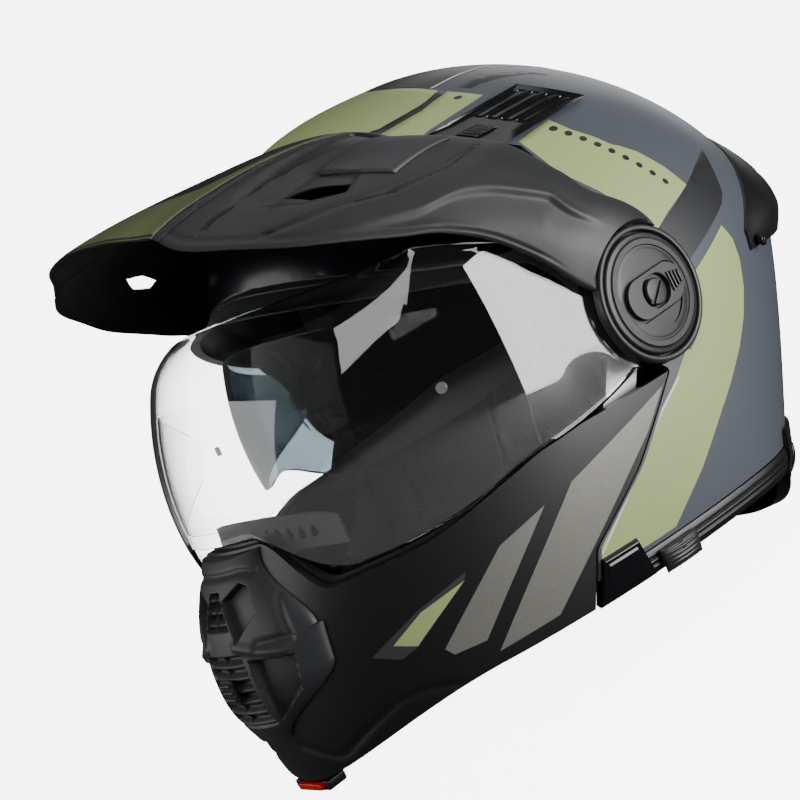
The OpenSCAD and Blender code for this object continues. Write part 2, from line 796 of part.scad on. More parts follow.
outer_shell();
shock_liner();
crown_pad();
cheek_pad_left();
cheek_pad_right();
neck_roll();
brow_seal();
side_rail_left();
side_rail_right();
nape_trim();
rear_spoiler();
spoiler_screws();
crown_vent_left();
crown_vent_right();
crown_slider_left();
crown_slider_right();
pivot_hub_left();
pivot_hub_right();
pivot_cap_left();
pivot_cap_right();
cap_tab_left();
cap_tab_right();
cap_screws();
sun_visor();
visor_arm_left();
visor_arm_right();
visor_lever();
chin_strap_left();
chin_strap_right();
buckle_frame();
buckle_lever();
chin_bar();
chin_liner();
chin_arm_left();
chin_arm_right();
chin_seal();
chin_vent();
chin_grille();
vent_shutter();
breath_deflector();
release_button();
release_housing();
face_shield();
shield_plate_left();
shield_plate_right();
fog_insert();
fog_pins();
peak();
peak_cover_left();
peak_cover_right();
peak_ring_left();
peak_ring_right();
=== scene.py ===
"""Looks of a flip-up touring helmet with a sun peak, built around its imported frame."""
import logging
import math
from dataclasses import dataclass, field
from enum import Enum
from typing import Callable, Sequence

import bmesh
import bpy
import numpy as np
from mathutils import Matrix, Vector
from mathutils.geometry import delaunay_2d_cdt


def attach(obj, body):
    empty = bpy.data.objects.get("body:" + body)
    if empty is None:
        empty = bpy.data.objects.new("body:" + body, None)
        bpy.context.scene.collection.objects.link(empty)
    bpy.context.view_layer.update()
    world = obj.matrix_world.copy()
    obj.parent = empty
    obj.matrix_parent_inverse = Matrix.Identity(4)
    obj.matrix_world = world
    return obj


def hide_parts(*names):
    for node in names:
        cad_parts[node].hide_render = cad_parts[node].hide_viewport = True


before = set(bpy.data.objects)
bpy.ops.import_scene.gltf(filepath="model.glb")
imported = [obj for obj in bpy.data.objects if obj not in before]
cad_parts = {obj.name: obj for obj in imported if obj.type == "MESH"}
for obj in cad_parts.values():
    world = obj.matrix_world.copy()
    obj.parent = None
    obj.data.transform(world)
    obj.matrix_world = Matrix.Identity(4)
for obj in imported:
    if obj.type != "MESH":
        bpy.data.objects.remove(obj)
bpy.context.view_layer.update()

LOG = logging.getLogger("helmet")
Grid = np.ndarray
Points = Sequence[Sequence[float]]
Faces = Sequence[Sequence[int]]
Object = bpy.types.Object
Node = bpy.types.Node
Tree = bpy.types.NodeTree
Socket = bpy.types.NodeSocket

MM = 0.001
# Middle of the face pivot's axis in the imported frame, in millimetres.
SEAT = np.array([0.0, 17.2, 134.9])
# Millimetres of skin that one degree of slant spans, roughly.
MM_PER_DEGREE = 2.3
# Millimetres to one degree of plan angle on the chin vent and on the chin bar's swage.
VENT_SPREAD, SWAGE_SPREAD = 3.2, 3.0


class Side(Enum):
    """Side of the wearer, as the sign of X."""

    LEFT = 1
    RIGHT = -1

    @property
    def tag(self) -> str:
        """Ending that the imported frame's names carry for this side."""
        return self.name.lower()


def smooth(v: Grid | float) -> Grid | float:
    """Return the smooth step of v between 0 and 1."""
    k = np.clip(v, 0.0, 1.0)
    return k * k * (3 - 2 * k)


def mix(a: Grid | float, b: Grid | float, k: Grid | float) -> Grid | float:
    """Return the value k of the way from a to b."""
    return a + (b - a) * k


def arch(k: Grid, power: float) -> Grid:
    """Return an arch over k that is 0 at 0 and 1, and 1 in the middle."""
    return np.power(np.sin(np.pi * k), power)


def bell(x: Grid, width: float) -> Grid:
    """Return a bell curve of x that is 1 at 0 and falls off over a width."""
    return np.exp(-((x / width) ** 2))


def path_distance(points: Grid, line: Points) -> np.ndarray:
    """Measure the distance of points to an open line.

    Args:
        points: Array whose last axis holds two coordinates.
        line: The line's corners in order.

    Returns:
        Distance of each point.
    """
    c = np.asarray(line, float)
    near = np.full(points.shape[:-1], np.inf)
    for a, b in zip(c[:-1], c[1:]):
        edge = b - a
        k = np.clip(((points - a) @ edge) / max(edge @ edge, 1e-9), 0, 1)
        near = np.minimum(near, np.linalg.norm(points - a - k[..., None] * edge, axis=-1))
    return near


def inside(points: Grid, corners: Points) -> np.ndarray:
    """Measure how deep points lie inside a polygon.

    Args:
        points: Array whose last axis holds two coordinates.
        corners: The polygon's corners in order.

    Returns:
        Distance to the nearest edge, positive inside and negative outside.
    """
    c = np.asarray(corners, float)
    near = path_distance(points, np.concatenate([c, c[:1]]))
    odd = np.zeros(points.shape[:-1], bool)
    for a, b in zip(c, np.roll(c, -1, axis=0)):
        rise = b[1] - a[1] if abs(b[1] - a[1]) > 1e-9 else 1e-9
        crosses = (a[1] > points[..., 1]) != (b[1] > points[..., 1])
        odd ^= crosses & (points[..., 0] < a[0] + (points[..., 1] - a[1]) / rise * (b[0] - a[0]))
    return np.where(odd, near, -near)


@dataclass(frozen=True)
class Skin:
    """Outer surface of shell and chin bar, in millimetres about the face pivot."""

    half: float = 125.0
    crown: float = 137.6
    front_reach: float = 135.0
    back_reach: float = 147.0
    mid: float = 19.0
    nape: float = 85.0
    tuck: float = 9.0
    chin_reach: float = 213.0
    chin_curve: float = 0.0035
    chin_nose: float = 95.0
    side_n: float = 1.83
    brow_n: float = 3.0
    back_n: float = 1.85
    back_plan: float = 2.6
    skirt: float = 2.2

    def rise(self, z: Grid, h: Grid | float, n: float) -> Grid:
        """Return how wide a superellipse of height h is at height z, as a share."""
        return np.power(np.maximum(0, 1 - np.power(np.clip(z / h, 0, 1), n)), 1 / n)

    def half_width(self, z: Grid, o: Grid | float) -> Grid:
        """Return the half width at height z, moved inwards by o."""
        low = self.half - o - self.tuck * np.power(np.maximum(-z, 0) / 112, 1.8)
        return np.where(z > 0, (self.half - o) * self.rise(z, self.crown - o, self.side_n), low)

    def chin(self, z: Grid, o: Grid | float) -> Grid:
        """Return the chin's reach at height z."""
        return self.chin_reach - o - self.chin_curve * (z + self.chin_nose) ** 2

    def front(self, z: Grid, o: Grid | float) -> Grid:
        """Return the reach in front of the head's middle at height z."""
        up = (self.front_reach - o) * self.rise(z, self.crown - o, self.brow_n)
        return np.where(z > 0, up, mix(self.front_reach - o, self.chin(z, o), np.clip(-z / 18, 0, 1)))

    def back(self, z: Grid, o: Grid | float) -> Grid:
        """Return the reach behind the head's middle at height z."""
        up = (self.back_reach - o) * self.rise(z, self.crown - o, self.back_n)
        return np.where(z > 0, up, self.back_reach - o - self.nape * np.power(np.maximum(-z, 0) / 122, 1.2))

    def middle(self, z: Grid) -> Grid:
        """Return where the plan's middle lies at height z."""
        return self.mid - 9 * np.clip(z / self.crown, 0, 1)

    def front_plan(self, z: Grid) -> Grid:
        """Return the exponent of the front half of the plan."""
        return 2.1 - 0.15 * np.clip(-z / 18, 0, 1)

    def point(self, t: Grid, z: Grid, o: Grid | float = 0.0) -> Grid:
        """Return points of the skin.

        Args:
            t: Plan angles from the front, in degrees, positive to the wearer's left.
            z: Heights.
            o: How far inwards.

        Returns:
            Points, with X, Y and Z on the last axis.
        """
        t, z = np.broadcast_arrays(np.asarray(t, float), np.asarray(z, float))
        c, s = np.cos(np.radians(t)), np.sin(np.radians(t))
        n = np.where(c > 0, self.front_plan(z), self.back_plan)
        reach = np.where(c > 0, -self.front(z, o), self.back(z, o))
        x = self.half_width(z, o) * np.sign(s) * np.power(np.abs(s), 2 / n)
        y = self.middle(z) + reach * np.power(np.abs(c), 2 / n)
        return np.stack([x, y, z + 0 * x], -1)

    def plan_angle(self, y: Grid, z: Grid, o: Grid | float = 0.0) -> Grid:
        """Return the plan angle, in degrees, where the skin reaches y at height z.

        Args:
            y: Place from front to back.
            z: Height.
            o: How far inwards.

        Returns:
            Angles in degrees.
        """
        ahead = (self.middle(z) - y) / self.front(z, o)
        behind = -ahead * self.front(z, o) / self.back(z, o)
        c = np.power(np.clip(ahead, 0, 1), self.front_plan(z) / 2)
        d = np.power(np.clip(behind, 0, 1), self.back_plan / 2)
        return np.where(ahead > 0, np.degrees(np.arccos(c)), 180 - np.degrees(np.arccos(d)))

    def drop(self, a: Grid) -> Grid:
        """Return the height for an angle a from straight up, running on down the skirt."""
        return np.where(a < 90, self.crown * np.cos(np.radians(np.minimum(a, 90))), -(a - 90) * self.skirt)

    def slant(self, z: Grid) -> Grid:
        """Return the angle from straight up for a height."""
        up = np.degrees(np.arccos(np.clip(np.asarray(z, float) / self.crown, 0, 1)))
        return np.where(np.asarray(z) > 0, up, 90 - np.asarray(z) / self.skirt)


SKIN = Skin()


def hex_linear(code: str) -> tuple[float, float, float, float]:
    """Turn an sRGB hex code into a linear colour with full alpha.

    Args:
        code: Colour as # and six hex digits.

    Returns:
        Red, green, blue and alpha.
    """
    parts = [int(code[i : i + 2], 16) / 255 for i in (1, 3, 5)]
    lin = [p / 12.92 if p <= 0.04045 else ((p + 0.055) / 1.055) ** 2.4 for p in parts]
    return (lin[0], lin[1], lin[2], 1.0)


def feed(tree: Tree, node: Node, sockets: dict) -> None:
    """Set or link input sockets of a node.

    Args:
        tree: The material's or world's nodes.
        node: The node to feed.
        sockets: Socket name or index to a value, or to an output socket to link from.
    """
    for key, value in sockets.items():
        if isinstance(value, Socket):
            tree.links.new(value, node.inputs[key])
        else:
            node.inputs[key].default_value = value


def add(tree: Tree, kind: str, sockets: dict | None = None, **settings: object) -> Node:
    """Add a node with its settings and links.

    Args:
        tree: The material's or world's nodes.
        kind: Node type without its ShaderNode prefix.
        sockets: Socket name or index to a value, or to an output socket to link from.
        settings: Attributes of the node.

    Returns:
        The new node.
    """
    node = tree.nodes.new("ShaderNode" + kind)
    for key, value in settings.items():
        setattr(node, key, value)
    feed(tree, node, sockets or {})
    return node


class Finish:
    """Base of all finishes: makes one material and keeps it."""

    made: dict[str, bpy.types.Material] = {}
    kind = ""

    def build(self, tree: Tree, shader: Node, place: Socket) -> None:
        """Add this finish's nodes.

        Args:
            tree: The material's nodes.
            shader: The Principled shader to feed.
            place: Position on the object, in metres.
        """

    @property
    def label(self) -> str:
        """Name of the material."""
        return f"{self.kind}_{self.name}" if self.kind else type(self).__name__

    def material(self) -> bpy.types.Material:
        """Return the material, built on first use."""
        if self.label not in Finish.made:
            material = bpy.data.materials.new(self.label)
            material.use_nodes = True
            tree = material.node_tree
            shader = tree.nodes["Principled BSDF"]
            place = add(tree, "TexCoord").outputs["Object"]
            self.build(tree, shader, place)
            Finish.made[self.label] = material
        return Finish.made[self.label]


def noise(tree: Tree, place: Socket, size_mm: float, detail: float = 2.0) -> Socket:
    """Return a noise between 0 and 1."""
    return add(tree, "TexNoise", {"Vector": place, "Scale": 1 / (size_mm * MM), "Detail": detail}).outputs[0]


def between(tree: Tree, value: Socket, low: float, high: float) -> Socket:
    """Return a value of 0 to 1 moved to low to high."""
    return add(tree, "MapRange", {"Value": value, 3: low, 4: high}).outputs[0]


def shade(tree: Tree, colour: Socket | tuple, factor: Socket) -> Socket:
    """Return a colour made lighter or darker by a factor."""
    return add(tree, "HueSaturation", {"Value": factor, "Color": colour}).outputs[0]


def bumped(tree: Tree, height: Socket, depth_mm: float, invert: bool = False) -> Socket:
    """Return the normal of a relief this deep."""
    return add(tree, "Bump", {"Height": height, "Distance": depth_mm * MM}, invert=invert).outputs["Normal"]


def grain(tree: Tree, place: Socket, size_mm: float, depth_mm: float, detail: float = 3.0) -> Socket:
    """Return a bump normal of fine grain."""
    return bumped(tree, noise(tree, place, size_mm, detail), depth_mm)


def tinted(tree: Tree, place: Socket, colour: str, swing: float, size_mm: float) -> Socket:
    """Return a base colour that varies softly in lightness.

    Args:
        tree: The material's nodes.
        place: Position in metres.
        colour: sRGB hex code of the middle tone.
        swing: Share by which the tone rises and falls.
        size_mm: Width of one cloud.

    Returns:
        The colour socket.
    """
    cloud = noise(tree, place, size_mm)
    factor = add(tree, "MapRange", {"Value": cloud, 1: 0.3, 2: 0.7, 3: 1 - swing, 4: 1 + swing}).outputs[0]
    return shade(tree, hex_linear(colour), factor)


def bands(tree: Tree, place: Socket, pitch_mm: float, axis: str, uneven: float = 0.0) -> Socket:
    """Return waves along an axis.

    Args:
        tree: The material's nodes.
        place: Position in metres.
        pitch_mm: Distance from one crest to the next.
        axis: Axis that the waves run along.
        uneven: Distortion of the waves.

    Returns:
        The value socket.
    """
    # A wave texture of scale 1 repeats every pi / 10.
    scale = math.pi / 10 / (pitch_mm * MM)
    wave = add(tree, "TexWave", {"Vector": place, "Scale": scale, "Distortion": uneven}, bands_direction=axis)
    return wave.outputs[1]


@dataclass(frozen=True)
class MattePaint(Finish):
    """Matte clear-coated paint over a moulded shell: soft wide highlights and a faint orange peel."""

    name: str
    colour: str
    roughness: float = 0.42
    flake: float = 0.0
    kind = "matte_paint"

    def build(self, tree: Tree, shader: Node, place: Socket) -> None:
        """Paint with orange peel 1.8 mm wide and, where asked, metal flakes 0.45 mm wide."""
        colour = tinted(tree, place, self.colour, 0.02, 60)
        if self.flake:
            cells = add(tree, "TexVoronoi", {"Vector": place, "Scale": 1 / (0.45 * MM)})
            spark = between(tree, cells.outputs["Color"], 1 - self.flake, 1 + self.flake)
            colour = shade(tree, colour, spark)
            feed(tree, shader, {"Metallic": 0.35})
        feed(tree, shader, {"Roughness": self.roughness, "Coat Weight": 0.25, "Coat Roughness": 0.3})
        feed(tree, shader, {"Base Color": colour, "Normal": grain(tree, place, 1.8, 0.006, 1.0)})


@dataclass(frozen=True)
class MouldedABS(Finish):
    """Injection-moulded ABS with an eroded tool texture: dry, slightly speckled black plastic."""

    name: str
    colour: str = "#17181a"
    roughness: float = 0.48
    grain_mm: float = 0.55
    depth_mm: float = 0.03
    kind = "moulded_abs"

    def build(self, tree: Tree, shader: Node, place: Socket) -> None:
        """Grain as eroded moulds leave it, drawn coarse enough to show, and lighter at the edges."""
        wear = add(tree, "NewGeometry").outputs["Pointiness"]
        edge = add(tree, "MapRange", {"Value": wear, 1: 0.52, 2: 0.62, 3: 1.0, 4: 1.35}).outputs[0]
        colour = shade(tree, tinted(tree, place, self.colour, 0.05, 25), edge)
        rough = between(tree, noise(tree, place, 12), self.roughness - 0.06, self.roughness + 0.06)
        normal = grain(tree, place, self.grain_mm, self.depth_mm)
        feed(tree, shader, {"Base Color": colour, "Roughness": rough, "Normal": normal})


@dataclass(frozen=True)
class GlossABS(Finish):
    """Gloss ABS from a polished mould: deep black with sharp highlights."""

    name: str = "black"
    colour: str = "#0c0d0f"
    roughness: float = 0.16
    kind = "gloss_abs"

    def build(self, tree: Tree, shader: Node, place: Socket) -> None:
        """Smooth plastic with haze that varies over 20 mm."""
        colour = tinted(tree, place, self.colour, 0.04, 20)
        rough = between(tree, noise(tree, place, 20, 4.0), self.roughness * 0.8, self.roughness * 1.3)
        normal = grain(tree, place, 3.0, 0.004, 1.0)
        feed(tree, shader, {"Base Color": colour, "Roughness": rough, "Normal": normal})


@dataclass(frozen=True)
class SealRubber(Finish):
    """Extruded EPDM rubber: soft black with a bloom that greys it slightly."""

    colour: str = "#111214"

    def build(self, tree: Tree, shader: Node, place: Socket) -> None:
        """Bloom clouds 8 mm wide over a fine skin."""
        colour = tinted(tree, place, self.colour, 0.12, 8)
        feed(tree, shader, {"Base Color": colour, "Roughness": 0.36, "Sheen Weight": 0.1})
        feed(tree, shader, {"Normal": grain(tree, place, 0.8, 0.02)})


@dataclass(frozen=True)
class Polycarbonate(Finish):
    """Hard-coated injection-moulded polycarbonate: clear or smoked, with crisp reflections."""

    name: str
    colour: str
    ior: float = 1.58
    kind = "polycarbonate"

    def build(self, tree: Tree, shader: Node, place: Socket) -> None:
        """Clear body with a trace of haze that varies over 90 mm."""
        rough = between(tree, noise(tree, place, 90, 1.0), 0.0, 0.012)
        feed(tree, shader, {"Base Color": hex_linear(self.colour), "Transmission Weight": 1.0})
        feed(tree, shader, {"IOR": self.ior, "Roughness": rough})


@dataclass(frozen=True)
class BeadFoam(Finish):
    """Expanded polystyrene: beads fused side by side, 3 mm wide, dull black."""

    colour: str = "#0e0f10"

    def build(self, tree: Tree, shader: Node, place: Socket) -> None:
        """Beads from cells 3 mm wide with sunk seams."""
        cells = add(tree, "TexVoronoi", {"Vector": place, "Scale": 1 / (3 * MM)}, feature="F1")
        normal = bumped(tree, cells.outputs["Distance"], 0.3, invert=True)
        feed(tree, shader, {"Base Color": tinted(tree, place, self.colour, 0.15, 4), "Normal": normal})
        feed(tree, shader, {"Roughness": 0.7})


@dataclass(frozen=True)
class KnitCloth(Finish):
    """Warp-knitted lining cloth: loops drawn 2.8 mm apart, coarser than real ones, with a soft sheen."""

    name: str = "charcoal"
    colour: str = "#070708"
    pitch_mm: float = 2.7621
    kind = "knit_cloth"

    def build(self, tree: Tree, shader: Node, place: Socket) -> None:
        """Loops from two crossing waves."""
        turned = add(tree, "VectorRotate", {"Vector": place, "Angle": 0.8}, rotation_type="X_AXIS").outputs[0]
        along, across = (bands(tree, turned, self.pitch_mm, axis) for axis in ("Y", "Z"))
        height = add(tree, "Math", {0: along, 1: across}, operation="MULTIPLY").outputs[0]
        feed(tree, shader, {"Base Color": tinted(tree, place, self.colour, 0.1, 15), "Roughness": 0.85})
        feed(tree, shader, {"Specular IOR Level": 0.12, "Sheen Weight": 0.06})
        feed(tree, shader, {"Normal": bumped(tree, height, 0.25)})


@dataclass(frozen=True)
class Webbing(Finish):
    """Woven polyester webbing: ribs drawn 3.2 mm apart, about twice as wide as on a real strap."""

    colour: str = "#1d1e21"
    pitch_mm: float = 3.1567

    def build(self, tree: Tree, shader: Node, place: Socket) -> None:
        """Slightly uneven ribs that run along the strap."""
        normal = bumped(tree, bands(tree, place, self.pitch_mm, "Y", 0.6), 0.2)
        feed(tree, shader, {"Base Color": tinted(tree, place, self.colour, 0.15, 3), "Normal": normal})
        feed(tree, shader, {"Roughness": 0.75, "Sheen Weight": 0.08})


@dataclass(frozen=True)
class BrushedSteel(Finish):
    """Stamped stainless steel with a brushed face."""

    name: str = "plain"
    colour: str = "#9b9c9e"
    kind = "brushed_steel"

    def build(self, tree: Tree, shader: Node, place: Socket) -> None:
        """Brush lines 0.3 mm apart and 17 mm long."""
        stretched = add(tree, "Mapping", {"Vector": place, "Scale": (60, 1, 1)}).outputs[0]
        lines = add(tree, "TexNoise", {"Vector": stretched, "Scale": 60.0, "Detail": 3.0}).outputs[0]
        feed(tree, shader, {"Base Color": hex_linear(self.colour), "Metallic": 1.0})
        feed(tree, shader, {"Roughness": between(tree, lines, 0.25, 0.45)})


SLATE = MattePaint("slate", "#43484f")
DARK = MattePaint("charcoal", "#1e1f21", 0.46)
BLACK_PAINT = MattePaint("black", "#0f1011", 0.46)
GREEN = MattePaint("sage", "#8f9d66", 0.45)
GRAPHITE = MattePaint("graphite", "#77766f", 0.45, 0.1)
DIM_GRAPHITE = MattePaint("dim_graphite", "#3f4042", 0.45, 0.08)
LINE = MattePaint("pale_line", "#c9c7bf", 0.4)
PEAK_PLASTIC = MouldedABS("peak", "#232425", 0.5, 0.5, 0.015)
TRIM = MouldedABS("trim", "#0c0d0e", 0.4)
VENT = MouldedABS("vent", "#2a2b2d", 0.5, 0.6, 0.03)
CAP = MouldedABS("cap", "#1a1b1d", 0.42, 0.45, 0.015)
TAB = MouldedABS("tab", "#222326", 0.38, 0.45, 0.015)
HUB = MouldedABS("hub", "#2b2c2e", 0.5)
DEFLECTOR = MouldedABS("deflector", "#38393b", 0.5)
GLOSS = GlossABS()
RED = GlossABS("red", "#b3150f", 0.25)
PIN = GlossABS("pin", "#85888b", 0.2)
RUBBER = SealRubber()
CLEAR = Polycarbonate("clear", "#ffffff")
FILM = Polycarbonate("film", "#f4f6f6", 1.12)
SMOKE = Polycarbonate("smoke", "#4d585c", 1.2)
FOAM = BeadFoam()
CLOTH = KnitCloth()
WEB = Webbing()
STEEL = BrushedSteel()
DARK_STEEL = BrushedSteel("dark", "#4a4b4d")
BROW_BLACK = GlossABS("brow", "#0b0d13", 0.2)
MOSS = MattePaint("moss", "#59613f", 0.5)


def mesh_piece(name: str, points: Grid, faces: Faces) -> Object:
    """Make a mesh object from points in millimetres about the pivot.

    Args:
        name: Name of the piece.
        points: Points, X, Y and Z on the last axis.
        faces: Corner indices of each face.

    Returns:
        The object, linked to the scene.
    """
    mesh = bpy.data.meshes.new(name)
    mesh.from_pydata(((np.asarray(points) + SEAT) * MM).tolist(), [], [list(f) for f in faces])
    mesh.validate()
    mesh.update()
    piece = bpy.data.objects.new(name, mesh)
    bpy.context.scene.collection.objects.link(piece)
    return piece


def grid_faces(rows: int, cols: int, start: int = 0, closed: bool = False, flip: bool = False) -> Faces:
    """List the quads of a grid, seen from outside.

    Args:
        rows: Rows of points, which run down.
        cols: Columns of points, which run to the right.
        start: Index of the first point.
        closed: Whether the last column joins the first.
        flip: Whether the faces look inwards.

    Returns:
        Corner indices of each face.
    """
    spans = cols if closed else cols - 1
    i, j = np.meshgrid(np.arange(rows - 1), np.arange(spans), indexing="ij")
    k = (j + 1) % cols
    a, b = start + i * cols + j, start + i * cols + k
    c, d = start + (i + 1) * cols + k, start + (i + 1) * cols + j
    order = (a, b, c, d) if flip else (a, d, c, b)
    return np.stack(order, -1).reshape(-1, 4).tolist()


def solid(name: str, outer: Grid, inner: Grid, closed: bool = False, lid: bool = False) -> Object:
    """Make a closed solid between an outer and an inner grid of points.

    Args:
        name: Name of the piece.
        outer: Rows by columns by XYZ, seen from outside.
        inner: The same for the inner face.
        closed: Whether the columns close into a ring.
        lid: Whether the top row is filled instead of walled.

    Returns:
        The object.
    """
    rows, cols = outer.shape[:2]
    n = rows * cols
    faces = grid_faces(rows, cols, 0, closed) + grid_faces(rows, cols, n, closed, True)
    spans = cols if closed else cols - 1
    last = (rows - 1) * cols
    for j in range(spans):
        k = (j + 1) % cols
        faces.append([last + j, n + last + j, n + last + k, last + k])
        if not lid:
            faces.append([k, n + k, n + j, j])
    if lid:
        faces.append(list(range(cols)))
        faces.append([n + j for j in reversed(range(cols))])
    if not closed:
        for i in range(rows - 1):
            a, d = i * cols, (i + 1) * cols
            faces.append([a, n + a, n + d, d])
            b, c = a + cols - 1, d + cols - 1
            faces.append([b, c, n + c, n + b])
    return mesh_piece(name, np.concatenate([outer.reshape(-1, 3), inner.reshape(-1, 3)]), faces)


def patch(name: str, cols: int, rows: int, t: Callable | Sequence[float], z: Callable | Sequence[float],
          outer: Callable | float, inner: Callable | float) -> Object:
    """Make a solid patch of the skin. Its functions take k and v, from 0 to 1 across and down.

    Args:
        name: Name of the piece.
        cols: Faces across.
        rows: Faces down.
        t: Plan angles at both sides, or a function.
        z: Heights of the top and the foot, or a function.
        outer: How far in the outer face lies, as a number or a function.
        inner: The same for the inner face.

    Returns:
        The object.
    """
    k, v = np.meshgrid(np.linspace(0, 1, cols + 1), np.linspace(0, 1, rows + 1))
    tt = t(k, v) if callable(t) else mix(*t, k)
    zz = z(k, v) if callable(z) else mix(*z, v)
    return solid(name, *(SKIN.point(tt, zz, d(k, v) if callable(d) else d) for d in (outer, inner)))


def on_side(piece: Object, side: Side, name: str) -> Object:
    """Name a piece built on the left and, for the right, mirror it.

    Args:
        piece: The left piece.
        side: The side wanted.
        name: Its new name.

    Returns:
        The same object.
    """
    if side is Side.RIGHT:
        piece.data.transform(Matrix.Scale(-1, 4, Vector((1, 0, 0))))
        piece.data.flip_normals()
    piece.name = name
    return piece


def soften(piece: Object, width_mm: float = 0.5, steps: int = 2) -> None:
    """Round a piece's sharp edges by a bevel.

    Args:
        piece: The piece.
        width_mm: Width of the bevel.
        steps: Faces across the bevel.
    """
    bevel = piece.modifiers.new("rounded", "BEVEL")
    bevel.width = width_mm * MM
    bevel.segments = steps
    bevel.limit_method = "ANGLE"
    bevel.angle_limit = math.radians(50)
    piece.modifiers.new("even", "WEIGHTED_NORMAL")


def dress(piece: Object, finish: Finish, body: str, replaces: Sequence[str] = (),
          crease: float = 40.0) -> Object:
    """Give a piece its looks and its place in the assembly.

    Args:
        piece: The piece.
        finish: Its finish.
        body: Body that it rides on.
        replaces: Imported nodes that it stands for.
        crease: Angle in degrees above which an edge stays sharp.

    Returns:
        The same object.
    """
    mesh = piece.data
    mesh.materials.clear()
    mesh.materials.append(finish.material())
    mesh.shade_smooth()
    mesh.set_sharp_from_angle(angle=math.radians(crease))
    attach(piece, body)
    if replaces:
        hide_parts(*replaces)
    LOG.info("%s on %s", piece.name, body)
    return piece


def cut(piece: Object, tools: Sequence[Object]) -> None:
    """Cut closed tools out of a piece and delete the tools."""
    for tool in tools:
        boolean = piece.modifiers.new("cut", "BOOLEAN")
        boolean.object = tool
        boolean.operation = "DIFFERENCE"
        boolean.solver = "EXACT"
        bpy.context.view_layer.update()
        mesh = bpy.data.meshes.new_from_object(piece.evaluated_get(bpy.context.evaluated_depsgraph_get()))
        piece.modifiers.remove(boolean)
        old, piece.data = piece.data, mesh
        bpy.data.meshes.remove(old)
        bpy.data.objects.remove(tool)
    piece.data.name = piece.name


def bridge(name: str, start: Grid, end: Grid) -> Object:
    """Make a closed solid between two rings with as many points each.

    Args:
        name: Name of the piece.
        start: Points of the first ring.
        end: Points of the second ring.

    Returns:
        The object.
    """
    n = len(start)
    faces = [[i, (i + 1) % n, n + (i + 1) % n, n + i] for i in range(n)]
    faces += [list(range(n))[::-1], list(range(n, 2 * n))]
    return mesh_piece(name, np.concatenate([start, end]), faces)


def rod(name: str, start: Sequence[float], end: Sequence[float], radius: float, sides: int = 48) -> Object:
    """Make a closed round bar.

    Args:
        name: Name of the piece.
        start: Middle of one end, in millimetres.
        end: Middle of the other end.
        radius: Its radius.
        sides: Faces around.

    Returns:
        The object.
    """
    a, b = np.asarray(start, float), np.asarray(end, float)
    axis = (b - a) / np.linalg.norm(b - a)
    side = np.cross(axis, [0, 0, 1] if abs(axis[2]) < 0.9 else [1, 0, 0])
    side /= np.linalg.norm(side)
    other = np.cross(axis, side)
    w = np.linspace(0, 2 * math.pi, sides, endpoint=False)
    ring = radius * (np.cos(w)[:, None] * side + np.sin(w)[:, None] * other)
    return bridge(name, a + ring, b + ring)


def prism(name: str, corners: Points, depth: Sequence[float]) -> Object:
    """Make a solid by moving a closed ring of points along a vector, both in millimetres."""
    base = np.asarray(corners, float)
    return tidy(bridge(name, base, base + np.asarray(depth, float)))


def even_out(corners: Points, step: float) -> np.ndarray:
    """Return a polygon's outline with points no more than a step apart.

    Args:
        corners: The polygon's corners.
        step: Greatest spacing.

    Returns:
        Points of the outline.
    """
    c = np.asarray(corners, float)
    out = []
    for a, b in zip(c, np.roll(c, -1, axis=0)):
        n = max(1, int(math.ceil(np.linalg.norm(b - a) / step)))
        out += [a + (b - a) * i / n for i in range(n)]
    return np.array(out)


def flat_fill(
    corners: Points, step: float, holes: Sequence[Points] = ()
) -> tuple[np.ndarray, list[list[int]]]:
    """Fill a flat polygon with even triangles.

    Args:
        corners: The outline.
        step: Spacing of the points.
        holes: Outlines left open.

    Returns:
        Points and triangles.
    """
    rings = [even_out(corners, step)] + [even_out(h, step) for h in holes]
    points: list = []
    loops = []
    for ring in rings:
        loops.append(list(range(len(points), len(points) + len(ring))))
        points += ring.tolist()
    low, high = rings[0].min(0), rings[0].max(0)
    gx, gy = np.meshgrid(np.arange(low[0], high[0], step), np.arange(low[1], high[1], step))
    gx[1::2] += step / 2
    spots = np.stack([gx.ravel(), gy.ravel()], -1)
    keep = inside(spots, rings[0]) > step * 0.45
    for ring in rings[1:]:
        keep &= inside(spots, ring) < -step * 0.45
    points += spots[keep].tolist()
    edges = [(l[i], l[(i + 1) % len(l)]) for l in loops for i in range(len(l))]
    verts, _, faces, *_ = delaunay_2d_cdt([Vector(p) for p in points], edges, [], 0, 1e-5)
    flat = np.array([list(v) for v in verts])
    mids = np.array([flat[f].mean(0) for f in faces])
    keep = inside(mids, rings[0]) > 0.02 * step
    for ring in rings[1:]:
        keep &= inside(mids, ring) < -0.02 * step
    kept = [list(f) for f, ok in zip(faces, keep) if ok]
    return flat, kept


def polar_plane(t: Grid, z: Grid) -> Grid:
    """Unroll skin points onto a flat disc about the crown."""
    a = SKIN.slant(z)
    return np.stack([a * np.sin(np.radians(t)), -a * np.cos(np.radians(t))], -1)


def from_polar(flat: Grid) -> tuple[Grid, Grid]:
    """Return the plan angles and heights of points on that disc."""
    return np.degrees(np.arctan2(flat[:, 0], -flat[:, 1])), SKIN.drop(np.hypot(flat[:, 0], flat[:, 1]))


